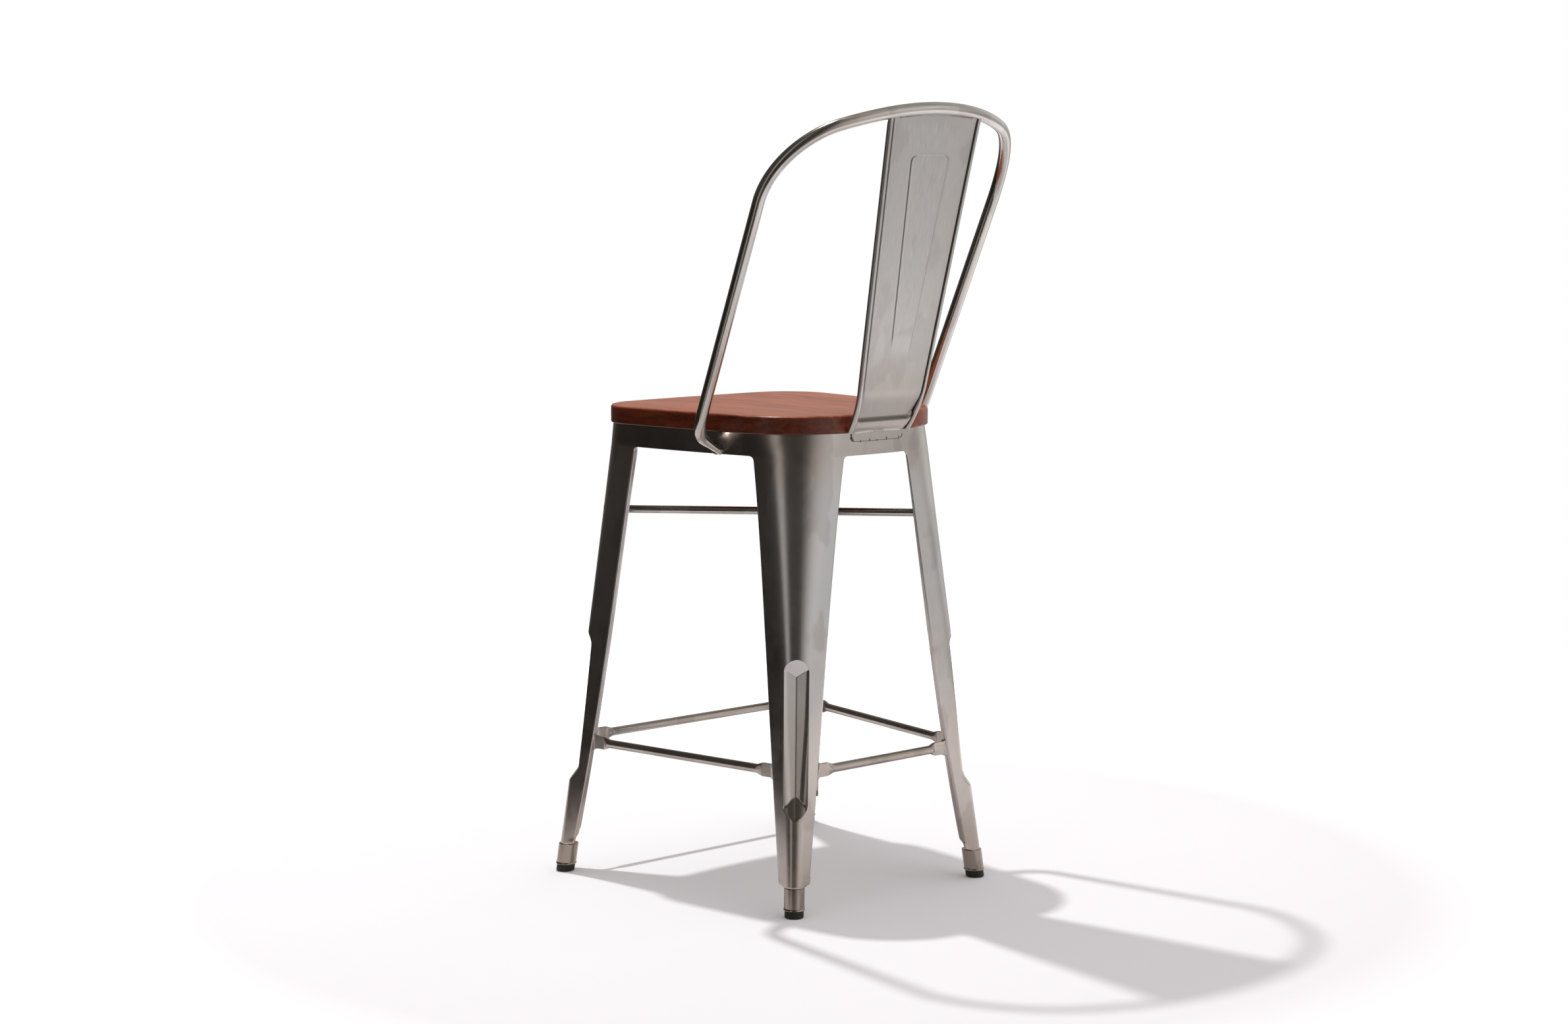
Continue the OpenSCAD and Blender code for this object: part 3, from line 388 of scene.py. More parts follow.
# ---- Materials
BROWNED = ((0.0, (0.80, 0.70, 0.63)), (0.14, (0.84, 0.77, 0.72)), (0.28, (0.95, 0.93, 0.91)),
           (0.45, (1.0, 1.0, 1.0)), (0.55, (1.0, 1.0, 1.0)), (0.6, (0.93, 0.87, 0.83)),
           (0.66, (0.96, 0.925, 0.90)), (0.75, (1.0, 1.0, 1.0)))
BRUSH_DARK, BRUSH_LIGHT = (0.89, 0.89, 0.89), (1.08, 1.08, 1.08)
# PATINA_AND_SHADE is mixed in by the patina_and_shade attribute: patina on welds and rolls, painted shade
# in the slat's crease and slits
WARM, STAINED, PATINA_AND_SHADE = (1.05, 0.93, 0.84), (0.74, 0.70, 0.68), (0.05, 0.042, 0.033)
WOOD_DARK, WOOD_LIGHT = (0.17, 0.030, 0.010), (0.47, 0.112, 0.040)
WOOD_PORES, WOOD_BANDS = (0.10, 0.022, 0.010), (0.52, 0.150, 0.062)
# Painted shade of the seat: its sides darker than its top, and the sides facing +X darker and greyer still
EDGE_SHADE = ((0.35, (0.72, 0.58, 0.52)), (0.85, (1, 1, 1)))
SIDE_SHADE = ((0.51, (1, 1, 1)), (0.62, (0.50, 0.52, 0.55)), (0.8, (0.40, 0.42, 0.45)),
             (1.0, (0.56, 0.56, 0.56)))
RUBBER_BLACK, RUBBER_DUST = (0.006, 0.006, 0.006), (0.022, 0.021, 0.020)


def scaled(colour, factors):
    return tuple(c * f for c, f in zip(colour, factors))


def new_material(name):
    material = bpy.data.materials.new(name)
    material.use_nodes = True
    return material, material.node_tree, material.node_tree.nodes["Principled BSDF"]


def feed(tree, node, inputs):
    """Sets a node's inputs, by name or number, to values, or links them to sockets."""
    for key, value in inputs.items():
        socket = node.inputs[key]
        if isinstance(value, bpy.types.NodeSocket):
            tree.links.new(value, socket)
        else:
            socket.default_value = (*value, 1) if socket.type == "RGBA" else value


def new_node(tree, kind, inputs):
    node = tree.nodes.new("ShaderNode" + kind)
    feed(tree, node, inputs)
    return node


# The functions down to split_up add nodes to a tree and give back the result's sockets
def ramp(tree, source, stops):
    """Colour ramp whose stops are a place with a grey level or a colour."""
    node = new_node(tree, "ValToRGB", {"Fac": source})
    elements = node.color_ramp.elements
    while len(elements) < len(stops):
        elements.new(0.5)
    for element, (at, colour) in zip(elements, stops):
        element.position = at
        element.color = (*(colour if hasattr(colour, "__len__") else (colour,) * 3), 1)
    return node.outputs["Color"]


def rise_between(tree, source, low, high):
    return ramp(tree, source, ((low, 0.0), (high, 1.0)))


def noise(tree, source, scale, detail, rough, offset, stretch=(1, 1, 1)):
    mapping = new_node(tree, "Mapping", {"Vector": source, "Scale": stretch, "Location": offset})
    inputs = {"Vector": mapping.outputs[0], "Scale": scale, "Detail": detail, "Roughness": rough}
    return new_node(tree, "TexNoise", inputs).outputs["Fac"]


def blend(tree, share, a, b, kind="MIX"):
    node = new_node(tree, "Mix", {})
    node.data_type, node.blend_type = "RGBA", kind
    feed(tree, node, {0: share, 6: a, 7: b})
    return node.outputs[2]


def calc(tree, kind, *values):
    node = new_node(tree, "Math", dict(enumerate(values)))
    node.operation = kind
    return node.outputs[0]


def tinted(tree, base, pattern, low, high, amount, colour):
    """Base turned towards a colour by an amount, where the pattern rises from low to high."""
    share = calc(tree, "MULTIPLY", rise_between(tree, pattern, low, high), amount)
    return blend(tree, share, base, colour)


def coordinate(tree, kind):
    return new_node(tree, "TexCoord", {}).outputs[kind]


def split_up(tree, source):
    return new_node(tree, "SeparateXYZ", {0: source}).outputs


def dress(tree, bsdf, base, rough, height, strength, distance):
    """Gives the shader its colour, roughness and fine bump."""
    bump = new_node(tree, "Bump", {"Height": height, "Strength": strength, "Distance": distance})
    feed(tree, bsdf, {"Base Color": base, "Roughness": rough, "Normal": bump.outputs["Normal"]})


def steel(name, colour, roughness, brush=(60, 1.0), tint=0.5, seed=0.0):
    """Steel under clear coat: lines along the flow, if any, clouds, stains, brown by height,
    and patina or painted shade from the patina_and_shade attribute.
    """
    material, tree, bsdf = new_material(name)
    flow = new_node(tree, "UVMap", {})
    flow.uv_map = "flow"
    at = coordinate(tree, "Object")
    lines = noise(tree, flow.outputs["UV"], 40, 3, 0.55, (seed, 0, 0), (*brush, 1))
    clouds = noise(tree, at, 9, 4, 0.55, (seed, 2, 1))
    marks = noise(tree, at, 38, 5, 0.7, (seed, 5, 3))
    stains = noise(tree, at, 17, 3, 0.45, (seed, 9, 4), (1, 1, 0.6))
    base = blend(tree, rise_between(tree, lines, 0.32, 0.68), scaled(colour, BRUSH_DARK),
                 scaled(colour, BRUSH_LIGHT))
    base = tinted(tree, base, clouds, 0.42, 0.72, tint, scaled(colour, WARM))
    base = tinted(tree, base, stains, 0.52, 0.56, tint, scaled(colour, STAINED))
    base = blend(tree, 1.0, base, ramp(tree, split_up(tree, at)["Z"], BROWNED), "MULTIPLY")
    # Patina, and painted shade in creases and slits, from the mesh's patina_and_shade attribute
    patina_and_shade = new_node(tree, "Attribute", {})
    patina_and_shade.attribute_name = "patina_and_shade"
    base = blend(tree, patina_and_shade.outputs["Fac"], base, PATINA_AND_SHADE)
    worn = rise_between(tree, marks, 0.3, 0.75)
    rough = calc(tree, "MULTIPLY_ADD", worn, 0.08, roughness - 0.04)
    height = calc(tree, "ADD", lines, calc(tree, "MULTIPLY", marks, 0.8))
    dress(tree, bsdf, base, rough, height, 0.05, 0.0003)
    feed(tree, bsdf, {"Metallic": 1.0, "Coat Weight": 0.25, "Coat Roughness": 0.12})
    return material


def wood_material():
    """Red-brown stained wood with its grain along y, with painted shade on its sides, more on the sides
    that face +X.
    """
    material, tree, bsdf = new_material("stained_wood")
    at = coordinate(tree, "Object")
    grain = noise(tree, at, 16, 6, 0.62, (0.3, 0, 0), (9, 0.7, 9))
    fine = noise(tree, at, 90, 4, 0.6, (1.3, 0, 0), (12, 0.45, 12))
    broad = noise(tree, at, 5, 3, 0.5, (4.2, 0, 0), (3, 0.5, 3))
    base = blend(tree, rise_between(tree, grain, 0.35, 0.66), WOOD_DARK, WOOD_LIGHT)
    base = tinted(tree, base, fine, 0.48, 0.70, 0.75, WOOD_PORES)
    base = tinted(tree, base, broad, 0.35, 0.7, 0.35, WOOD_BANDS)
    facing = split_up(tree, coordinate(tree, "Normal"))
    # Painted shade by facing: sides darker than the top, sides facing +X darker again
    base = blend(tree, 1.0, base, ramp(tree, facing["Z"], EDGE_SHADE), "MULTIPLY")
    sideways = calc(tree, "MULTIPLY_ADD", facing["X"], 0.5, 0.5)
    on_edge = ramp(tree, facing["Z"], ((0.35, 1.0), (0.75, 0.0)))
    base = blend(tree, on_edge, base, ramp(tree, sideways, SIDE_SHADE), "MULTIPLY")
    rough = calc(tree, "MULTIPLY_ADD", grain, 0.16, 0.30)
    dress(tree, bsdf, base, rough, fine, 0.22, 0.0004)
    feed(tree, bsdf, {"Specular IOR Level": 0.3, "Coat Weight": 0.15, "Coat Roughness": 0.2})
    return material


def rubber_material():
    material, tree, bsdf = new_material("rubber")
    dust = noise(tree, coordinate(tree, "Object"), 240, 5, 0.7, (0, 0, 0))
    base = blend(tree, rise_between(tree, dust, 0.45, 0.8), RUBBER_BLACK, RUBBER_DUST)
    rough = calc(tree, "MULTIPLY_ADD", dust, 0.25, 0.5)
    dress(tree, bsdf, base, rough, dust, 0.2, 0.0003)
    return material


leg_steel = steel("leg_steel", (0.49, 0.481, 0.478), 0.22, seed=0.0)
bar_steel = steel("bar_steel", (0.45, 0.43, 0.41), 0.24, brush=(10, 0.5), seed=3.0)
hoop_steel = steel("hoop_steel", (0.47, 0.45, 0.43), 0.20, brush=(10, 0.5), seed=7.0)
slat_steel = steel("slat_steel", (0.435, 0.42, 0.408), 0.33, brush=(45, 1.2), tint=0.3, seed=11.0)
dark_steel = steel("dark_steel", (0.38, 0.36, 0.34), 0.20, seed=13.0)
screw_steel = steel("screw_steel", (0.55, 0.54, 0.53), 0.30, seed=17.0)
weld_steel = steel("weld_steel", (0.38, 0.35, 0.32), 0.40, brush=(6, 6), tint=0.8, seed=19.0)
wood, rubber = wood_material(), rubber_material()


# ---- Pressed legs
def leg_levels():
    """Heights of a leg's rings, close together at the toe, the groove's ends and the sweep."""
    low, high = GROOVE_LOW - GROOVE_MARGIN, GROOVE_HIGH + GROOVE_MARGIN
    z = span(TOE_HEIGHT, TOE_HEIGHT + 20, 14) + span(TOE_HEIGHT + 20, low, 8)
    z += span(low, ARCH_Z + 20, 40) + span(ARCH_Z + 20, DOME_Z - 14, 14)
    z += span(DOME_Z - 14, high, 36) + span(high, SWEEP_Z, 26)
    z += [APRON_LOW - SWEEP_R * (1 - math.sin(a)) for a in span(0, math.pi / 2, 12)]
    return z + span(APRON_LOW, APRON_TOP, 4) + [APRON_TOP]


def folded_edge(leg, side, z):
    """Rolled edge of a flange on the outer and the inner side of the sheet."""
    angle, edge, depth = leg.half_angle(z), leg.edge(z), leg.fold(side, z)
    along, inward = vec(math.sin(angle), math.cos(angle)), vec(-math.cos(angle), math.sin(angle))
    outer_r = leg.fold_r(side, z)
    inner_r = max(outer_r, SHEET + 0.05)
    outer, inner = [], []
    for b in np.linspace(0, math.pi / 2, 9):
        way = -inward * math.cos(b) + along * math.sin(b)
        outer.append(edge + (inward - along) * outer_r + way * outer_r)
        inner.append(edge + (inward - along) * inner_r + way * (inner_r - SHEET))
    for s in (0.5, 1):
        outer.append(edge + inward * mix(outer_r, depth, s))
        inner.append(edge + inward * mix(inner_r, max(depth, inner_r), s) - along * SHEET)
    return outer, inner, (edge - along * inner_r)[0]


def leg_outline(leg, z):
    """Outer and inner line of the sheet at height z, from one fold's edge to the other's."""
    near_fold, far_fold = folded_edge(leg, 1, z), folded_edge(leg, -1, z)
    rim = max(rim_half(z), 4)
    near, last = min(2.6, rim * 0.45), min(near_fold[2], far_fold[2])
    stations = [0, 0.35, 0.8, 1.5] + span(2.4 * rim / 16, rim - near, 8)
    stations += span(rim - near, rim + near, 14) + span(rim + near, last, 14) + [last]
    half = [vec(t, leg.outer_depth(z, t)) for t in sorted(stations)]
    outer = np.array(flip_all(half[:0:-1]) + half)
    tangent = np.gradient(outer, axis=0)
    tangent /= np.linalg.norm(tangent, axis=1)[:, None]
    lines = outer, outer + np.stack([-tangent[:, 1], tangent[:, 0]], 1) * SHEET
    return [flip_all(b[::-1]) + list(line) + a for a, line, b in zip(near_fold, lines, far_fold)]


def build_leg(name, leg, mirror):
    """Pressed leg without flow: its steel has clouds and stains but no brushed lines."""
    rings = []
    for z in leg_levels():
        outer, inner = leg_outline(leg, z)
        slope = TOE_SLOPE * (1 - smooth((z - TOE_HEIGHT) / TOE_FADE))
        rings.append([leg.point(z, t, n, slope * max(abs(t) - TOE_FLAT, 0))
                      for t, n in outer + inner[::-1]])
    points, faces, _ = loft(rings, caps=False)
    n = len(rings[0])
    for first, order in ((0, -1), ((len(rings) - 1) * n, 1)):
        for j in range(n // 2 - 1):
            o, i = first + j, first + n - 1 - j
            faces.append((o, o + 1, i - 1, i)[::order])
    if mirror:
        points, faces, _ = mirrored(points, faces, [])
    piece(name, (points, faces, None), leg_steel, [name])


for where, leg, mirror in leg_places:
    build_leg("leg_" + where, leg, mirror)


# ---- Apron plates
def wing_end(leg, side):
    """Upper outer corner of a leg's edge, where the apron starts."""
    e = leg.edge(APRON_LOW)
    return leg.ridge(APRON_LOW) + leg.across * side * e[0] + leg.inward * e[1]


def bow_radius(a, b, bow):
    return np.linalg.norm(b - a) / 2 / math.sin(bow)


def bow_point(a, b, bow, s):
    """Point on the outer face between a and b and its outward direction, s from 0 to 1."""
    r, c, way = bow_radius(a, b, bow), np.linalg.norm(b - a), unit(b - a)
    out = vec(way[1], -way[0])
    x = (s - 0.5) * c
    spoke = way * x + out * math.sqrt(r * r - x * x)
    return (a + b) / 2 - out * math.sqrt(r * r - c * c / 4) + spoke, unit(spoke)


def build_apron(name, a, b, bow):
    c = APRON_CHAMFER
    rings = []
    for s in np.linspace(-0.002, 1.002, 41):
        p, out = bow_point(a, b, bow, s)
        profile = [(0, APRON_LOW + c), (0, APRON_TOP), (-SHEET, APRON_TOP), (-SHEET, APRON_LOW + c),
                   (-SHEET + c, APRON_LOW), (-c, APRON_LOW)]
        rings.append([vec(*(p + out * o), z) for o, z in profile])
    piece(name, loft(rings), leg_steel, [name])


side_a, side_b = wing_end(front_leg, 1), wing_end(rear_leg, -1)
rear_end, front_end = wing_end(rear_leg, 1), wing_end(front_leg, -1)
build_apron("apron_right", side_a, side_b, SIDE_BOW)
build_apron("apron_left", flip_x(side_b), flip_x(side_a), SIDE_BOW)
build_apron("apron_rear", rear_end, flip_x(rear_end), END_BOW)
build_apron("apron_front", flip_x(front_end), front_end, END_BOW)


# ---- Tubes, rods and bars
def path_frames(path, up):
    """Directions of travel at the points of a path, and two directions square to each."""
    ways = [unit(path[min(i + 1, len(path) - 1)] - path[max(i - 1, 0)]) for i in range(len(path))]
    first = [unit(np.cross(w, up)) for w in ways]
    return ways, first, [np.cross(a, w) for a, w in zip(first, ways)]


def circle(centre, a, b, r, n):
    t = span(0, 2 * math.pi, n)
    return centre + np.outer(np.cos(t), a) * r + np.outer(np.sin(t), b) * r


def rod_end(leg, z):
    p = leg.ridge(z) + leg.inward * (SHEET - SEATING)
    return vec(*p, z)


def cut(ring, way, face, normal):
    """The ring pushed along a bar onto a face, to lie SEATING inside it."""
    return [p + way * (((face - p) @ normal - SEATING) / (way @ normal)) for p in ring]


def flare(d):
    """Growth of a bar's section towards its weld, d from the leg."""
    return 1 + FLARE * max(1 - d / FLARE_LENGTH, 0) ** 2


def build_rod(name, a, b):
    ends = np.linspace(0, 0.03, 8)
    shares = np.concatenate([ends, np.linspace(0.04, 0.96, 50), 1 - ends[::-1]])
    path = [a + (b - a) * s for s in shares]
    _, u, v = path_frames(path, UP)
    length = np.linalg.norm(b - a)
    rings = [circle(p, x, y, BAR_R * flare(min(s, 1 - s) * length), 36)
             for p, x, y, s in zip(path, u, v, shares)]
    piece(name, loft(rings), bar_steel, [name])


lower_rod_z = BRACE_HEIGHT - 2 * BAR_R + SEATING / 2
build_rod("brace_rod_upper", rod_end(front_leg, BRACE_HEIGHT), flip_x(rod_end(rear_leg, BRACE_HEIGHT)))
build_rod("brace_rod_lower", rod_end(rear_leg, lower_rod_z), flip_x(rod_end(front_leg, lower_rod_z)))


def paddle_ring(share, n=40):
    """Ring of a footrest bar, flat for share 0 and round for share 1."""
    ring = []
    for i in range(n):
        a = 2 * math.pi * (i + 0.5) / n
        c, s = math.cos(a), math.sin(a)
        flat = np.clip((c * 1.6, s * 1.25), -1, 1) * (PADDLE_THICK, PADDLE_HEIGHT) / 2
        ring.append(mix(flat, vec(c, s) * FOOTREST_R, share))
    return ring


def build_footrest(name, a, normal_a, b, normal_b):
    way = unit(b - a)
    left = vec(-way[1], way[0], 0)
    inside = -left if left @ a > 0 else left
    start, length = a + inside * BAR_INSET, np.linalg.norm(b - a)
    across = np.cross(way, UP)
    flat_end = PADDLE_LENGTH - 3
    ends = [(mix(0.5, flat_end, (i / 11) ** 1.5), 0.0) for i in range(12)]
    ends += [(flat_end + (PADDLE_TAPER + 3) * i / 7, smooth(i / 7)) for i in range(1, 8)]
    steps = ends + [(x, 1) for x in np.linspace(40, length - 40, 24)]
    steps += [(length - x, s) for x, s in ends[::-1]]
    rings = []
    for x, s in steps:
        grow = flare(min(x, length - x))
        wide, high = across * (2 * grow - 1), UP * grow
        rings.append([start + way * x + wide * q[0] + high * q[1] for q in paddle_ring(s)])
    rings[0], rings[-1] = cut(rings[0], way, a, normal_a), cut(rings[-1], way, b, normal_b)
    piece(name, loft(rings), bar_steel, [name])


def fold_weld(leg, side):
    """Place and direction of a leg's fold at the footrest's height."""
    return leg.fold_point(side, FOOTREST_HEIGHT, 0), leg.fold_normal(side, FOOTREST_HEIGHT)


right_a, right_b = fold_weld(front_leg, 1), fold_weld(rear_leg, -1)
back, fore = fold_weld(rear_leg, 1), fold_weld(front_leg, -1)
build_footrest("footrest_right", *right_a, *right_b)
build_footrest("footrest_left", *flip_all(right_a + right_b))
build_footrest("footrest_rear", *back, *flip_all(back))
build_footrest("footrest_front", *fore, *flip_all(fore))


# ---- Feet
def build_turned(name, leg, profile, mirror, material):
    """Round piece about the slanting axis of a leg's foot, from heights and radii."""
    ring = circle(vec(0, 0, 0), vec(1, 0, 0), vec(0, 1, 0), 1, 56)
    surface = loft([leg.foot_centre(h) + ring * r for h, r in profile])
    piece(name, mirrored(*surface) if mirror else surface, material, [name])


socket_bore, socket_top = SOCKET_R - SOCKET_WALL, TOE_HEIGHT + SEATING
rim_r = SOCKET_R + SOCKET_RIM
socket_profile = [(socket_top - 4, socket_bore), (FOOT_TOP + 0.4, socket_bore),
                  (FOOT_TOP, socket_bore + 0.4), (FOOT_TOP, rim_r - 0.4), (FOOT_TOP + 0.4, rim_r),
                  (FOOT_TOP + 2.0, rim_r), (FOOT_TOP + 2.5, rim_r - 0.3), (FOOT_TOP + 3, SOCKET_R),
                  (socket_top - 0.5, SOCKET_R), (socket_top, SOCKET_R - 0.5)]
foot_profile = [(0, FOOT_R - 1.6), (0.5, FOOT_R - 0.5), (1.6, FOOT_R), (FOOT_TOP - 0.5, FOOT_R),
                (FOOT_TOP, FOOT_R - 0.5), (FOOT_TOP, socket_bore), (FOOT_TOP + 16, socket_bore)]
for where, leg, mirror in leg_places:
    build_turned("socket_" + where, leg, socket_profile, mirror, dark_steel)
    build_turned("foot_" + where, leg, foot_profile, mirror, rubber)


# ---- Back hoop
def hoop_at(x, z):
    return vec(x, hoop_depth(x, z), z)


def side_point(z):
    return hoop_at(shoulder_x + SHOULDER_R - SIDE_TAPER * (shoulder_z - z), z)


side_way = unit(side_b - side_a)
apron_out = vec(side_way[1], -side_way[0], 0)
hook_face, _ = bow_point(side_a, side_b, SIDE_BOW, (HOOK_Y - side_a[1]) / (side_b[1] - side_a[1]))
hook_end = vec(*hook_face, HOOK_Z)


def bezier(a, b, c, d, t):
    return a * (1 - t) ** 3 + b * 3 * t * (1 - t) ** 2 + c * 3 * t * t * (1 - t) + d * t**3


hook_a = side_point(HOOK_START)
hook_pull = unit(hook_a - side_point(HOOK_START + 1))
hook_push = unit(vec(*HOOK_WAY))
half_hoop = [bezier(hook_end, hook_end + hook_push * HOOK_OUT, hook_a + hook_pull * HOOK_UP, hook_a, t)
             for t in span(0, 1, 28)]
half_hoop += [side_point(h) for h in span(HOOK_START, shoulder_z, 30)]
half_hoop += [hoop_at(shoulder_x + SHOULDER_R * math.cos(a), shoulder_z + SHOULDER_R * math.sin(a))
              for a in span(0, math.pi / 2 - SHOULDER_ANGLE, 34)]
half_hoop += [hoop_at(CROWN_R * math.sin(a), crown_at + CROWN_R * math.cos(a))
              for a in span(SHOULDER_ANGLE, 0, 22)]
hoop_line = half_hoop + [hoop_at(0, HOOP_CROWN)] + flip_all(half_hoop[::-1])


def build_hoop():
    """Round tube along hoop_line, pressed flat towards its two feet."""
    lean = unit(vec(0, -1, HOOP_LEAN))
    ways, u, v = path_frames(hoop_line, lean)
    rings = []
    for p, a, b in zip(hoop_line, u, v):
        d = min(np.linalg.norm(p - hook_end), np.linalg.norm(flip_x(p) - hook_end))
        share = smooth((PRESSED_FROM - d) / PRESSED_GROWTH)
        ra, rb = mix(HOOP_R, PRESSED_A, share), mix(HOOP_R, PRESSED_B, share)
        power = mix(1.0, PRESSED_POWER, share)
        ring = []
        for t in span(0, 2 * math.pi, 40):
            c, s = math.cos(t), math.sin(t)
            ring.append(p + a * ra * math.copysign(abs(c) ** power, c)
                        + b * rb * math.copysign(abs(s) ** power, s))
        rings.append(ring)
    rings[0] = cut(rings[0], ways[0], hook_end, apron_out)
    rings[-1] = cut(rings[-1], ways[-1], flip_x(hook_end), flip_x(apron_out))
    piece("back_hoop", loft(rings), hoop_steel, ["back_hoop"], 40)


build_hoop()


# ---- Back slat
def rear_bow(x):
    r = bow_radius(rear_end, flip_x(rear_end), END_BOW)
    return r - math.sqrt(r * r - x * x)


tab_face = rear_end[1] + rear_bow(rear_end[0])
bend_depth = SLAT_Y + SLAT_LEAN * (BEND_Z - SLAT_REF_Z)


def under_hoop(x, y):
    """Point of the hoop's crown above a plan place, on its lower side."""
    level = crown_at + math.sqrt(CROWN_R**2 - x * x)
    d = y - hoop_depth(x, level)
    return vec(x, y, level - math.sqrt(max(HOOP_R**2 - d * d, 1)))


def slat_row(z):
    """Depth, turn of the face, half width, edge radius, face offsets below and above the crease,
    panel rise, and whether the slat follows the apron's bow."""
    rise = z - SLAT_REF_Z
    if z >= BEND_Z:
        panel = smooth((z - PANEL_LOW) / PANEL_FADE) * (1 - smooth((z - PANEL_TOP + 1) / 4))
        depth, turn = SLAT_Y + SLAT_LEAN * rise, math.atan(SLAT_LEAN)
        return depth, turn, SLAT_HALF + SLAT_WIDEN * rise, ROLL_R, (SLAT_FACE, SLAT_FACE), panel, False
    if z >= ROLL_END:
        drop, length = BEND_Z - z, BEND_Z - ROLL_END
        depth = bend_depth - SLAT_LEAN * drop - drop * drop / (2 * BEND_R)
        foot = tab_face + SLAT_SHEET + TAB_GAP
        foot -= bend_depth - SLAT_LEAN * length - length**2 / (2 * BEND_R)
        low = np.interp(z, (ROLL_END, ROLL_END + 6, CREASE_Z - 2), (foot, 1.2, 1.8))
        high = mix(FIELD_LOW, SLAT_FACE, smooth((z - CREASE_Z - 2) / FIELD_FADE))
        top_half = SLAT_HALF + SLAT_WIDEN * (BEND_Z - SLAT_REF_Z)
        half = mix(ROLL_END_HALF, top_half, (z - ROLL_END) / length)
        return depth, math.atan(SLAT_LEAN + drop / BEND_R), half, ROLL_R, (low, high), 0, False
    thin, corner = SLAT_SHEET / 2, max(0, TAB_LOW + TAB_CORNER - z)
    half = TAB_HALF - (TAB_CORNER - math.sqrt(max(TAB_CORNER**2 - corner * corner, 0)))
    return tab_face + thin + TAB_GAP, 0, half, thin + 0.02, (thin, thin), 0, True


def face_offset(x, z, w, levels):
    """Offset of the face; the crease turns up in a round corner towards each roll."""
    return mix(*levels, min(max((z - crease_line(x, w)) / CREASE_STEP + 0.5, 0), 1))


def crease_line(x, w):
    """Height of the crease at x, for a slat of half width w."""
    corner = min(max((abs(x) - (w - CREASE_CORNER - ROLL_R)) / CREASE_CORNER, 0), 1)
    return CREASE_Z + CREASE_CORNER * (1 - math.sqrt(1 - corner * corner))


def crease_shade_and_patina(x, z, w):
    """Painted shade, dark in the crease and lighter on the bend above it, and brown patina along the
    rolls.
    """
    if z < CREASE_Z - 8:
        return 0.0
    away = (z - crease_line(x, w) - 1) / CREASE_SHADE_HALF
    bend_shade_share = BEND_SHADE * smooth((z - CREASE_Z) / 4) * (1 - smooth((z - BEND_Z) / 70))
    return max(CREASE_SHADE * math.exp(-away**4), bend_shade_share + ROLL_FILM * (abs(x) / w) ** 6)


def slat_levels():
    """Heights of the slat's rings, close together at the crease and the panel's top."""
    parts = ((TAB_LOW, TAB_LOW + TAB_CORNER, 6), (TAB_LOW + 6, ROLL_END - 1.5, 4),
             (ROLL_END, CREASE_Z - 3, 14), (CREASE_Z - 2, CREASE_Z + 9, 26), (CREASE_Z + 10, BEND_Z, 26),
             (BEND_Z + 2, 775, 26), (782, PANEL_TOP - 16, 26), (PANEL_TOP - 14, PANEL_TOP + 6, 22),
             (PANEL_TOP + 9, 1034, 8))
    return [z for low, high, count in parts for z in np.linspace(low, high, count)] + [SLAT_END]


def slat_half(z, w, b, levels, rise):
    """Half of the slat's ring: the face from its middle to the rolled edge of radius b at w,
    the roll, and the back; with the number of points on the face and the slit's share."""
    level_of = functools.partial(face_offset, z=z, w=w, levels=levels)
    size, middle, edge = b / ROLL_R, level_of(0), level_of(w - b)
    slit = SLIT_DEPTH * smooth((size - 0.3) / 0.6)
    corner = min(max(0, z - (PANEL_TOP - PANEL_CORNER)), PANEL_CORNER)
    panel = PANEL_HALF - PANEL_TAPER * (PANEL_REF_Z - z) - PANEL_CORNER
    panel += math.sqrt(max(PANEL_CORNER**2 - corner**2, 0))
    top = PANEL_RISE * rise
    wall = [i / 8 for i in range(9)]
    outer, inner = panel + PANEL_WALL, w - b - 1.9 * size
    face = [(panel * i / 5, middle + top) for i in range(5)]
    face += [(panel - PANEL_WALL + 2 * PANEL_WALL * t, middle + top * (1 - smooth(t))) for t in wall]
    face += [(x, level_of(x)) for x in (mix(outer, inner, i / 12) for i in range(1, 13))]
    face += [(w - b - 1.2 * size, edge - 0.15 * slit), (w - b - 0.75 * size, edge - 0.6 * slit)]
    first = math.pi - math.asin(max(-0.95, min(0.95, (edge - slit) / b)))
    last = -math.pi - math.asin(max(-0.95, min(0.95, (edge - SLAT_SHEET) / b)))
    roll = [(w + b * math.cos(a), b * math.sin(a)) for a in np.linspace(first, last, ROLL_POINTS)]
    back = [(mix(roll[-1][0], inner - 1, i / 3), edge - SLAT_SHEET) for i in range(1, 4)]
    back += [(x, level_of(x) - SLAT_SHEET) for x in (mix(inner - 1, outer, i / 12) for i in range(1, 12))]
    low = middle - SLAT_SHEET
    back += [(outer - 2 * PANEL_WALL * t, low + top * smooth(t)) for t in wall]
    back += [(panel * i / 5, low + top) for i in range(4, -1, -1)]
    return face + roll + back, len(face), slit / SLIT_DEPTH


def slat_shade_and_patina(half, count, z, w, slit):
    """Painted shade and patina of a ring: in the crease, and painted shade in both slits, weaker in the +X
    one.
    """
    shade = [crease_shade_and_patina(x, z, w) if i < count else 0.0 for i, (x, _) in enumerate(half)]
    weak_shade = list(shade)
    # Painted shade in the slits between the face and the rolls
    for i, share in enumerate(SLIT_SHADE, count - 2):
        shade[i] = share * slit
        weak_shade[i] = WEAK_SLIT_SHADE * share * slit
    return weak_shade + shade[-2:0:-1]


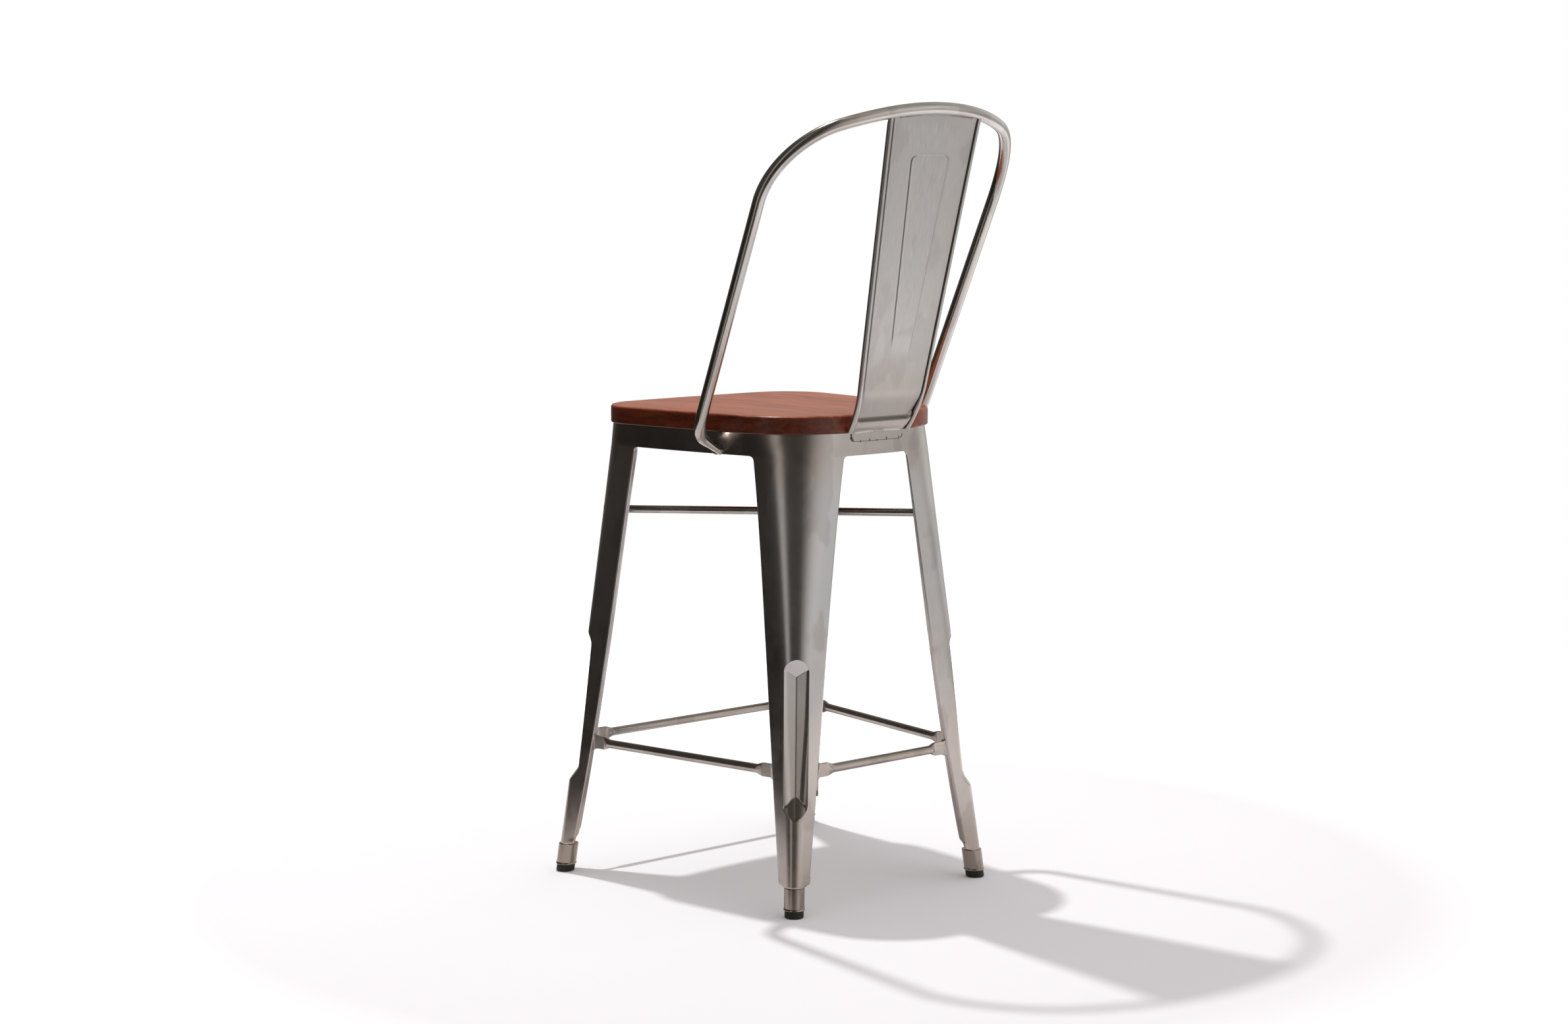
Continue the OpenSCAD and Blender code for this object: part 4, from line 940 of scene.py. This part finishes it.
def build_slat():
    rings, patina_and_shade = [], []
    for z in slat_levels():
        depth, turn, w, b, levels, rise, bow = slat_row(z)
        half, count, slit = slat_half(z, w, b, levels, rise)
        ring = half + [(-x, y) for x, y in half[-2:0:-1]]
        patina_and_shade += slat_shade_and_patina(half, count, z, w, slit)
        rings.append([vec(x, depth + y * math.cos(turn) - (rear_bow(x) if bow else 0),
                          z - y * math.sin(turn)) for x, y in ring])
    rings[-1] = [under_hoop(x, y) + vec(0, 0, SEATING) for x, y, _ in rings[-1]]
    points, faces, flow = loft(rings, caps=False)
    n = len(rings[0])
    half_count = n // 2 + 1
    for first, order in ((0, -1), ((len(rings) - 1) * n, 1)):
        for j in range(half_count // 2 - 1):
            k = half_count - 1 - j
            right = (first + j, first + j + 1, first + k - 1, first + k)
            left = tuple(first + (n - (v - first)) % n for v in right)[::-1]
            for face in (right, left):
                faces.append(face[::order])
                flow.append([(0, 0), (1, 0), (1, 1), (0, 1)])
    piece("back_slat", (points, faces, flow), slat_steel, ["back_slat"], 40, patina_and_shade)


build_slat()


# ---- Wood seat
def arc_corner(p, a, b, r, n):
    """Arc of radius r that rounds the corner p between a and b."""
    u, v = unit(a - p), unit(b - p)
    half = math.acos(u @ v) / 2
    c = p + unit(u + v) * r / math.sin(half)
    s, e = p + u * r / math.tan(half) - c, p + v * r / math.tan(half) - c
    first = math.atan2(s[1], s[0])
    turn = (math.atan2(e[1], e[0]) - first) % (2 * math.pi)
    angles = [first + turn * i / n for i in range(n + 1)]
    return [c + r * vec(math.cos(a), math.sin(a)) for a in angles]


def seat_outline(cut, n=22):
    """Outline of the seat, smaller by cut, with bowed edges."""
    f, b = SEAT_FRONT_HALF - cut, SEAT_REAR_HALF - cut
    y0, y1 = -SEAT_FRONT_Y + cut, SEAT_REAR_Y - cut
    p = [vec(f, y0), vec(b, y1), vec(-b, y1), vec(-f, y0)]
    radii = [r - cut for r in (SEAT_FRONT_R, SEAT_REAR_R, SEAT_REAR_R, SEAT_FRONT_R)]
    q = [arc_corner(p[i], p[i - 1], p[(i + 1) % 4], radii[i], n) for i in range(4)]
    flat = []
    for i in range(4):
        a, c = q[i][-1], q[(i + 1) % 4][0]
        flat += q[i] + [mix(a, c, j / 14) for j in range(1, 14)]
    mid, half = (y0 + y1) / 2, (y1 - y0) / 2
    out = []
    for x, y in flat:
        w, e = mix(f, b, (y - y0) / (y1 - y0)), (y - mid) / half
        bow = SEAT_REAR_BOW if e > 0 else -SEAT_FRONT_BOW
        out.append(vec(x + SEAT_SIDE_BOW * x / w * max(1 - e * e, 0),
                       y + bow * e * e * max(1 - (x / w) ** 2, 0)))
    return out


def build_seat():
    r, low = SEAT_EDGE_R, SEAT_EDGE_R * 0.5
    levels = [(APRON_TOP + low * (1 - math.sin(a)), low * (1 - math.cos(a)))
              for a in np.linspace(math.pi / 2, 0, 5)]
    levels += [(mix(APRON_TOP + low, SEAT_TOP - r, i / 5), 0) for i in range(1, 5)]
    levels += [(SEAT_TOP - r * (1 - math.sin(a)), r * (1 - math.cos(a)))
               for a in np.linspace(0, math.pi / 2, 9)]
    rings = [[vec(*p, h) for p in seat_outline(inset)] for h, inset in levels]
    for share in (0.9, 0.7, 0.45, 0.2):
        rings.append([vec(p[0] * share, p[1] * share, SEAT_TOP) for p in seat_outline(r)])
    piece("wood_seat", loft(rings), wood, ["wood_seat"], 50)


build_seat()


# ---- Weld beads
def bead(path, r, seed, normal=(0, 0, 1), pitch=2.6):
    """A rippled bead along a path, with rounded ends."""
    draw = random.Random(seed)
    lengths = distances(path)
    total = lengths[-1]
    count = max(int(total / BEAD_STEP), 8)
    line = np.array([[np.interp(s, lengths, [p[i] for p in path]) for i in range(3)]
                     for s in np.linspace(0, total, count)])
    _, u, v = path_frames(line, vec(*normal) + vec(0.001, 0.002, 0.003))
    rings = []
    drift = draw.uniform(0, 6)
    for i, (p, a, b) in enumerate(zip(line, u, v)):
        s = total * i / (count - 1)
        end = min(s, total - s) / r
        cap = math.sqrt(max(1 - max(1 - end, 0) ** 2, 0.02))
        ripple = 1 + RIPPLE * abs(math.sin(math.pi * (s + drift) / pitch))
        ripple += draw.uniform(-RIPPLE_NOISE, RIPPLE_NOISE)
        swell = 1 + SWELL * math.sin(s * SWELL_RATE + drift)
        rings.append(circle(p, a, b, r * cap * ripple * swell, 12))
    return loft(rings)


def weld(name, parts, patina_and_shade=0.3):
    surface = merge(parts)
    piece(name, surface, weld_steel, (), 60, [patina_and_shade] * len(surface[0]))


def both_sides(parts):
    return parts + [mirrored(*p) for p in parts]


def rear_face(x, z, out):
    """Point that stands out from the rear apron's outer face."""
    return vec(x, tab_face - rear_bow(x) + out, z)


tab_edge = [rear_face(TAB_HALF - 3.5, TAB_LOW, 0.6), rear_face(TAB_HALF - 0.5, TAB_LOW + 3, 0.6),
            rear_face(TAB_HALF, CREASE_Z - 22, 0.6)]
tab_line = [rear_face(x, TAB_LOW - 0.2, 0.6) for x in np.linspace(3.5 - TAB_HALF, TAB_HALF - 3.5, 30)]
ticks = [bead([rear_face(x, TAB_LOW - 1.5, 1.0), rear_face(x + 0.8, TAB_LOW + reach, 1.9)], 0.8, 30 + i)
         for i, (x, reach) in enumerate(((-40, 2.5), (-16, 2.8), (2, 0.6), (15, 2.4), (31, 1.0)))]
# The tab's welds are darker, at 0.75: heat tint, and painted shade of the narrow gap along the tab's lower
# edge
weld("weld_tab", both_sides([bead(tab_edge, 1.5, 5)]) + [bead(tab_line, 0.75, 6, pitch=7.0)] + ticks, 0.75)


top_face = SLAT_Y + SLAT_LEAN * (SLAT_END - SLAT_REF_Z) + SLAT_FACE + 0.4
weld("weld_slat_top", [bead([under_hoop(x, top_face) for x in np.linspace(-66, 66, 60)], 1.3, 9)])


def hoop_foot(out, along, up):
    """Point beside the end of the hoop, by its distances from it."""
    return hook_end + apron_out * out + np.cross(UP, apron_out) * along + UP * up


round_foot = [hoop_foot(0.4, 8 * math.cos(t), 6 * math.sin(t)) for t in np.linspace(0, 2 * math.pi, 26)]
blob = [hoop_foot(1.5, 9, -2), hoop_foot(1.5, 11, 1.5)]
weld("weld_hoop", both_sides([bead(round_foot, 1.9, 12, normal=apron_out), bead(blob, 3.4, 14)]))


# ---- Bare CAD pieces that stay
for name, material in (("seat_ring", dark_steel), ("seat_screws", screw_steel)):
    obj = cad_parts[name]
    obj.data.materials.clear()
    obj.data.materials.append(material)

# ---- Camera
camera_data = bpy.data.cameras.new("camera")
camera = bpy.data.objects.new("camera", camera_data)
bpy.context.scene.collection.objects.link(camera)
azimuth, elevation, distance = math.radians(137.8), math.radians(7.5), 4.1102
back = Vector((math.sin(azimuth) * math.cos(elevation), -math.cos(azimuth) * math.cos(elevation),
               math.sin(elevation)))
target = Vector((0, -plan_shift * MM, 0.45))
camera.location = target + back * distance
camera.rotation_euler = (-back).to_track_quat("-Z", "Y").to_euler()
camera_data.sensor_width = 36
camera_data.lens = 68.06
camera_data.shift_x, camera_data.shift_y = 0.0015, 0.02517
bpy.context.scene.camera = camera

# ---- Floor, lamp and surroundings
bpy.ops.mesh.primitive_circle_add(vertices=96, radius=1.75, fill_type="NGON",
                                  location=(-0.75, 0.1, -0.0003))
floor = bpy.context.object
floor.name = "floor"


def floor_paper():
    """Pale paper that glows towards white away from the stool and bounces little light."""
    material, tree, bsdf = new_material("floor_paper")
    tree.nodes.remove(bsdf)
    shifted = new_node(tree, "VectorMath", {0: coordinate(tree, "Object"), 1: floor.location})
    away = new_node(tree, "VectorMath", {0: shifted.outputs[0]})
    away.operation = "LENGTH"
    fade = new_node(tree, "MapRange", {"Value": away.outputs["Value"], "From Min": 0.82, "From Max": 1.5,
                                       "To Min": 0.04, "To Max": 0.7})
    glow = new_node(tree, "Emission", {"Strength": fade.outputs["Result"]})
    paper = new_node(tree, "BsdfDiffuse", {"Color": (0.93, 0.925, 0.935)})
    bounce = new_node(tree, "BsdfDiffuse", {"Color": (0.08, 0.07, 0.065)})
    total = new_node(tree, "AddShader", {0: paper.outputs[0], 1: glow.outputs[0]})
    diffuse_ray = new_node(tree, "LightPath", {}).outputs["Is Diffuse Ray"]
    chosen = new_node(tree, "MixShader", {0: diffuse_ray, 1: total.outputs[0], 2: bounce.outputs[0]})
    feed(tree, tree.nodes["Material Output"], {"Surface": chosen.outputs[0]})
    return material


floor.data.materials.append(floor_paper())

lamp_data = bpy.data.lights.new("key_lamp", "AREA")
lamp_data.shape, lamp_data.size, lamp_data.energy = "DISK", 0.09, 48
lamp = bpy.data.objects.new("key_lamp", lamp_data)
bpy.context.scene.collection.objects.link(lamp)
lamp.location = (0.02, -0.75, 3.11)
lamp.rotation_euler = (Vector((0, 0, 0.3)) - lamp.location).to_track_quat("-Z", "Y").to_euler()

# Brightness of the room's walls round the stool, by azimuth from -180 to 180 degrees
WALLS = ((-180, 0.90), (-168, 0.85), (-150, 0.60), (-125, 0.35), (-105, 0.12), (-88, 0.08),
         (-72, 0.03), (-50, 0.02), (-25, 0.03), (-8, 0.05), (0, 0.12), (7, 0.60), (14, 0.60),
         (22, 0.10), (30, 0.05), (48, 0.05), (57, 0.08), (66, 0.20), (75, 0.45), (84, 0.68),
         (95, 0.84), (106, 0.94), (130, 0.98), (142, 0.86), (160, 0.66), (172, 0.80), (180, 0.90))
# Darkening of the walls' foot and haze over the horizon, by height from 0 to 1, level at 0.5
SKIRTING = ((0.0, 0.9), (0.36, 0.93), (0.41, 0.72), (0.455, 0.72), (0.495, 1.0), (1.0, 1.0))
HAZE = ((0.0, 0.0), (0.45, 0.0), (0.50, (0.062, 0.057, 0.050)), (0.56, (0.080, 0.074, 0.066)))
CEILING, CEILING_GLOW = (0.55, 0.54, 0.53), (0.04, 0.037, 0.034)
SOFT_WALLS, SOFT_CEILING = (1.5, 1.5, 1.5), (0.63, 0.595, 0.61)


def wall_colour(level):
    """Dark parts of the room are a little warmer than light ones."""
    return level * mix(1.10, 1, level), level, level * mix(0.88, 1, level)


def build_world():
    """White to the camera, a room to the metal's reflections and a soft light to the rest."""
    world = bpy.data.worlds.new("studio")
    bpy.context.scene.world = world
    world.use_nodes = True
    tree = world.node_tree
    tree.nodes.clear()
    way = split_up(tree, coordinate(tree, "Generated"))
    angle = calc(tree, "ARCTAN2", way["Y"], way["X"])
    turn = calc(tree, "MULTIPLY_ADD", angle, 1 / (2 * math.pi), 0.5)
    upward = calc(tree, "MULTIPLY_ADD", way["Z"], 0.5, 0.5)
    walls = ramp(tree, turn, [((a + 180) / 360, wall_colour(level)) for a, level in WALLS])
    room = blend(tree, 1.0, walls, ramp(tree, upward, SKIRTING), "MULTIPLY")
    room = blend(tree, 1.0, room, ramp(tree, upward, HAZE), "LIGHTEN")
    ceiling = blend(tree, 1.0, room, CEILING, "MULTIPLY")
    ceiling = blend(tree, 1.0, ceiling, CEILING_GLOW, "ADD")
    room = blend(tree, rise_between(tree, way["Z"], 0.40, 0.75), room, ceiling)
    soft = blend(tree, rise_between(tree, way["Z"], 0.30, 0.80),
                 blend(tree, 1.0, walls, SOFT_WALLS, "MULTIPLY"), SOFT_CEILING)
    light = new_node(tree, "LightPath", {}).outputs
    mirrorlike = calc(tree, "MAXIMUM", light["Is Glossy Ray"], light["Is Transmission Ray"])
    shade = blend(tree, mirrorlike, soft, room)
    seen = blend(tree, light["Is Camera Ray"], shade, (1, 1, 1))
    background = new_node(tree, "Background", {"Color": seen})
    new_node(tree, "OutputWorld", {"Surface": background.outputs[0]})


build_world()

bpy.context.scene.view_settings.view_transform = "Standard"
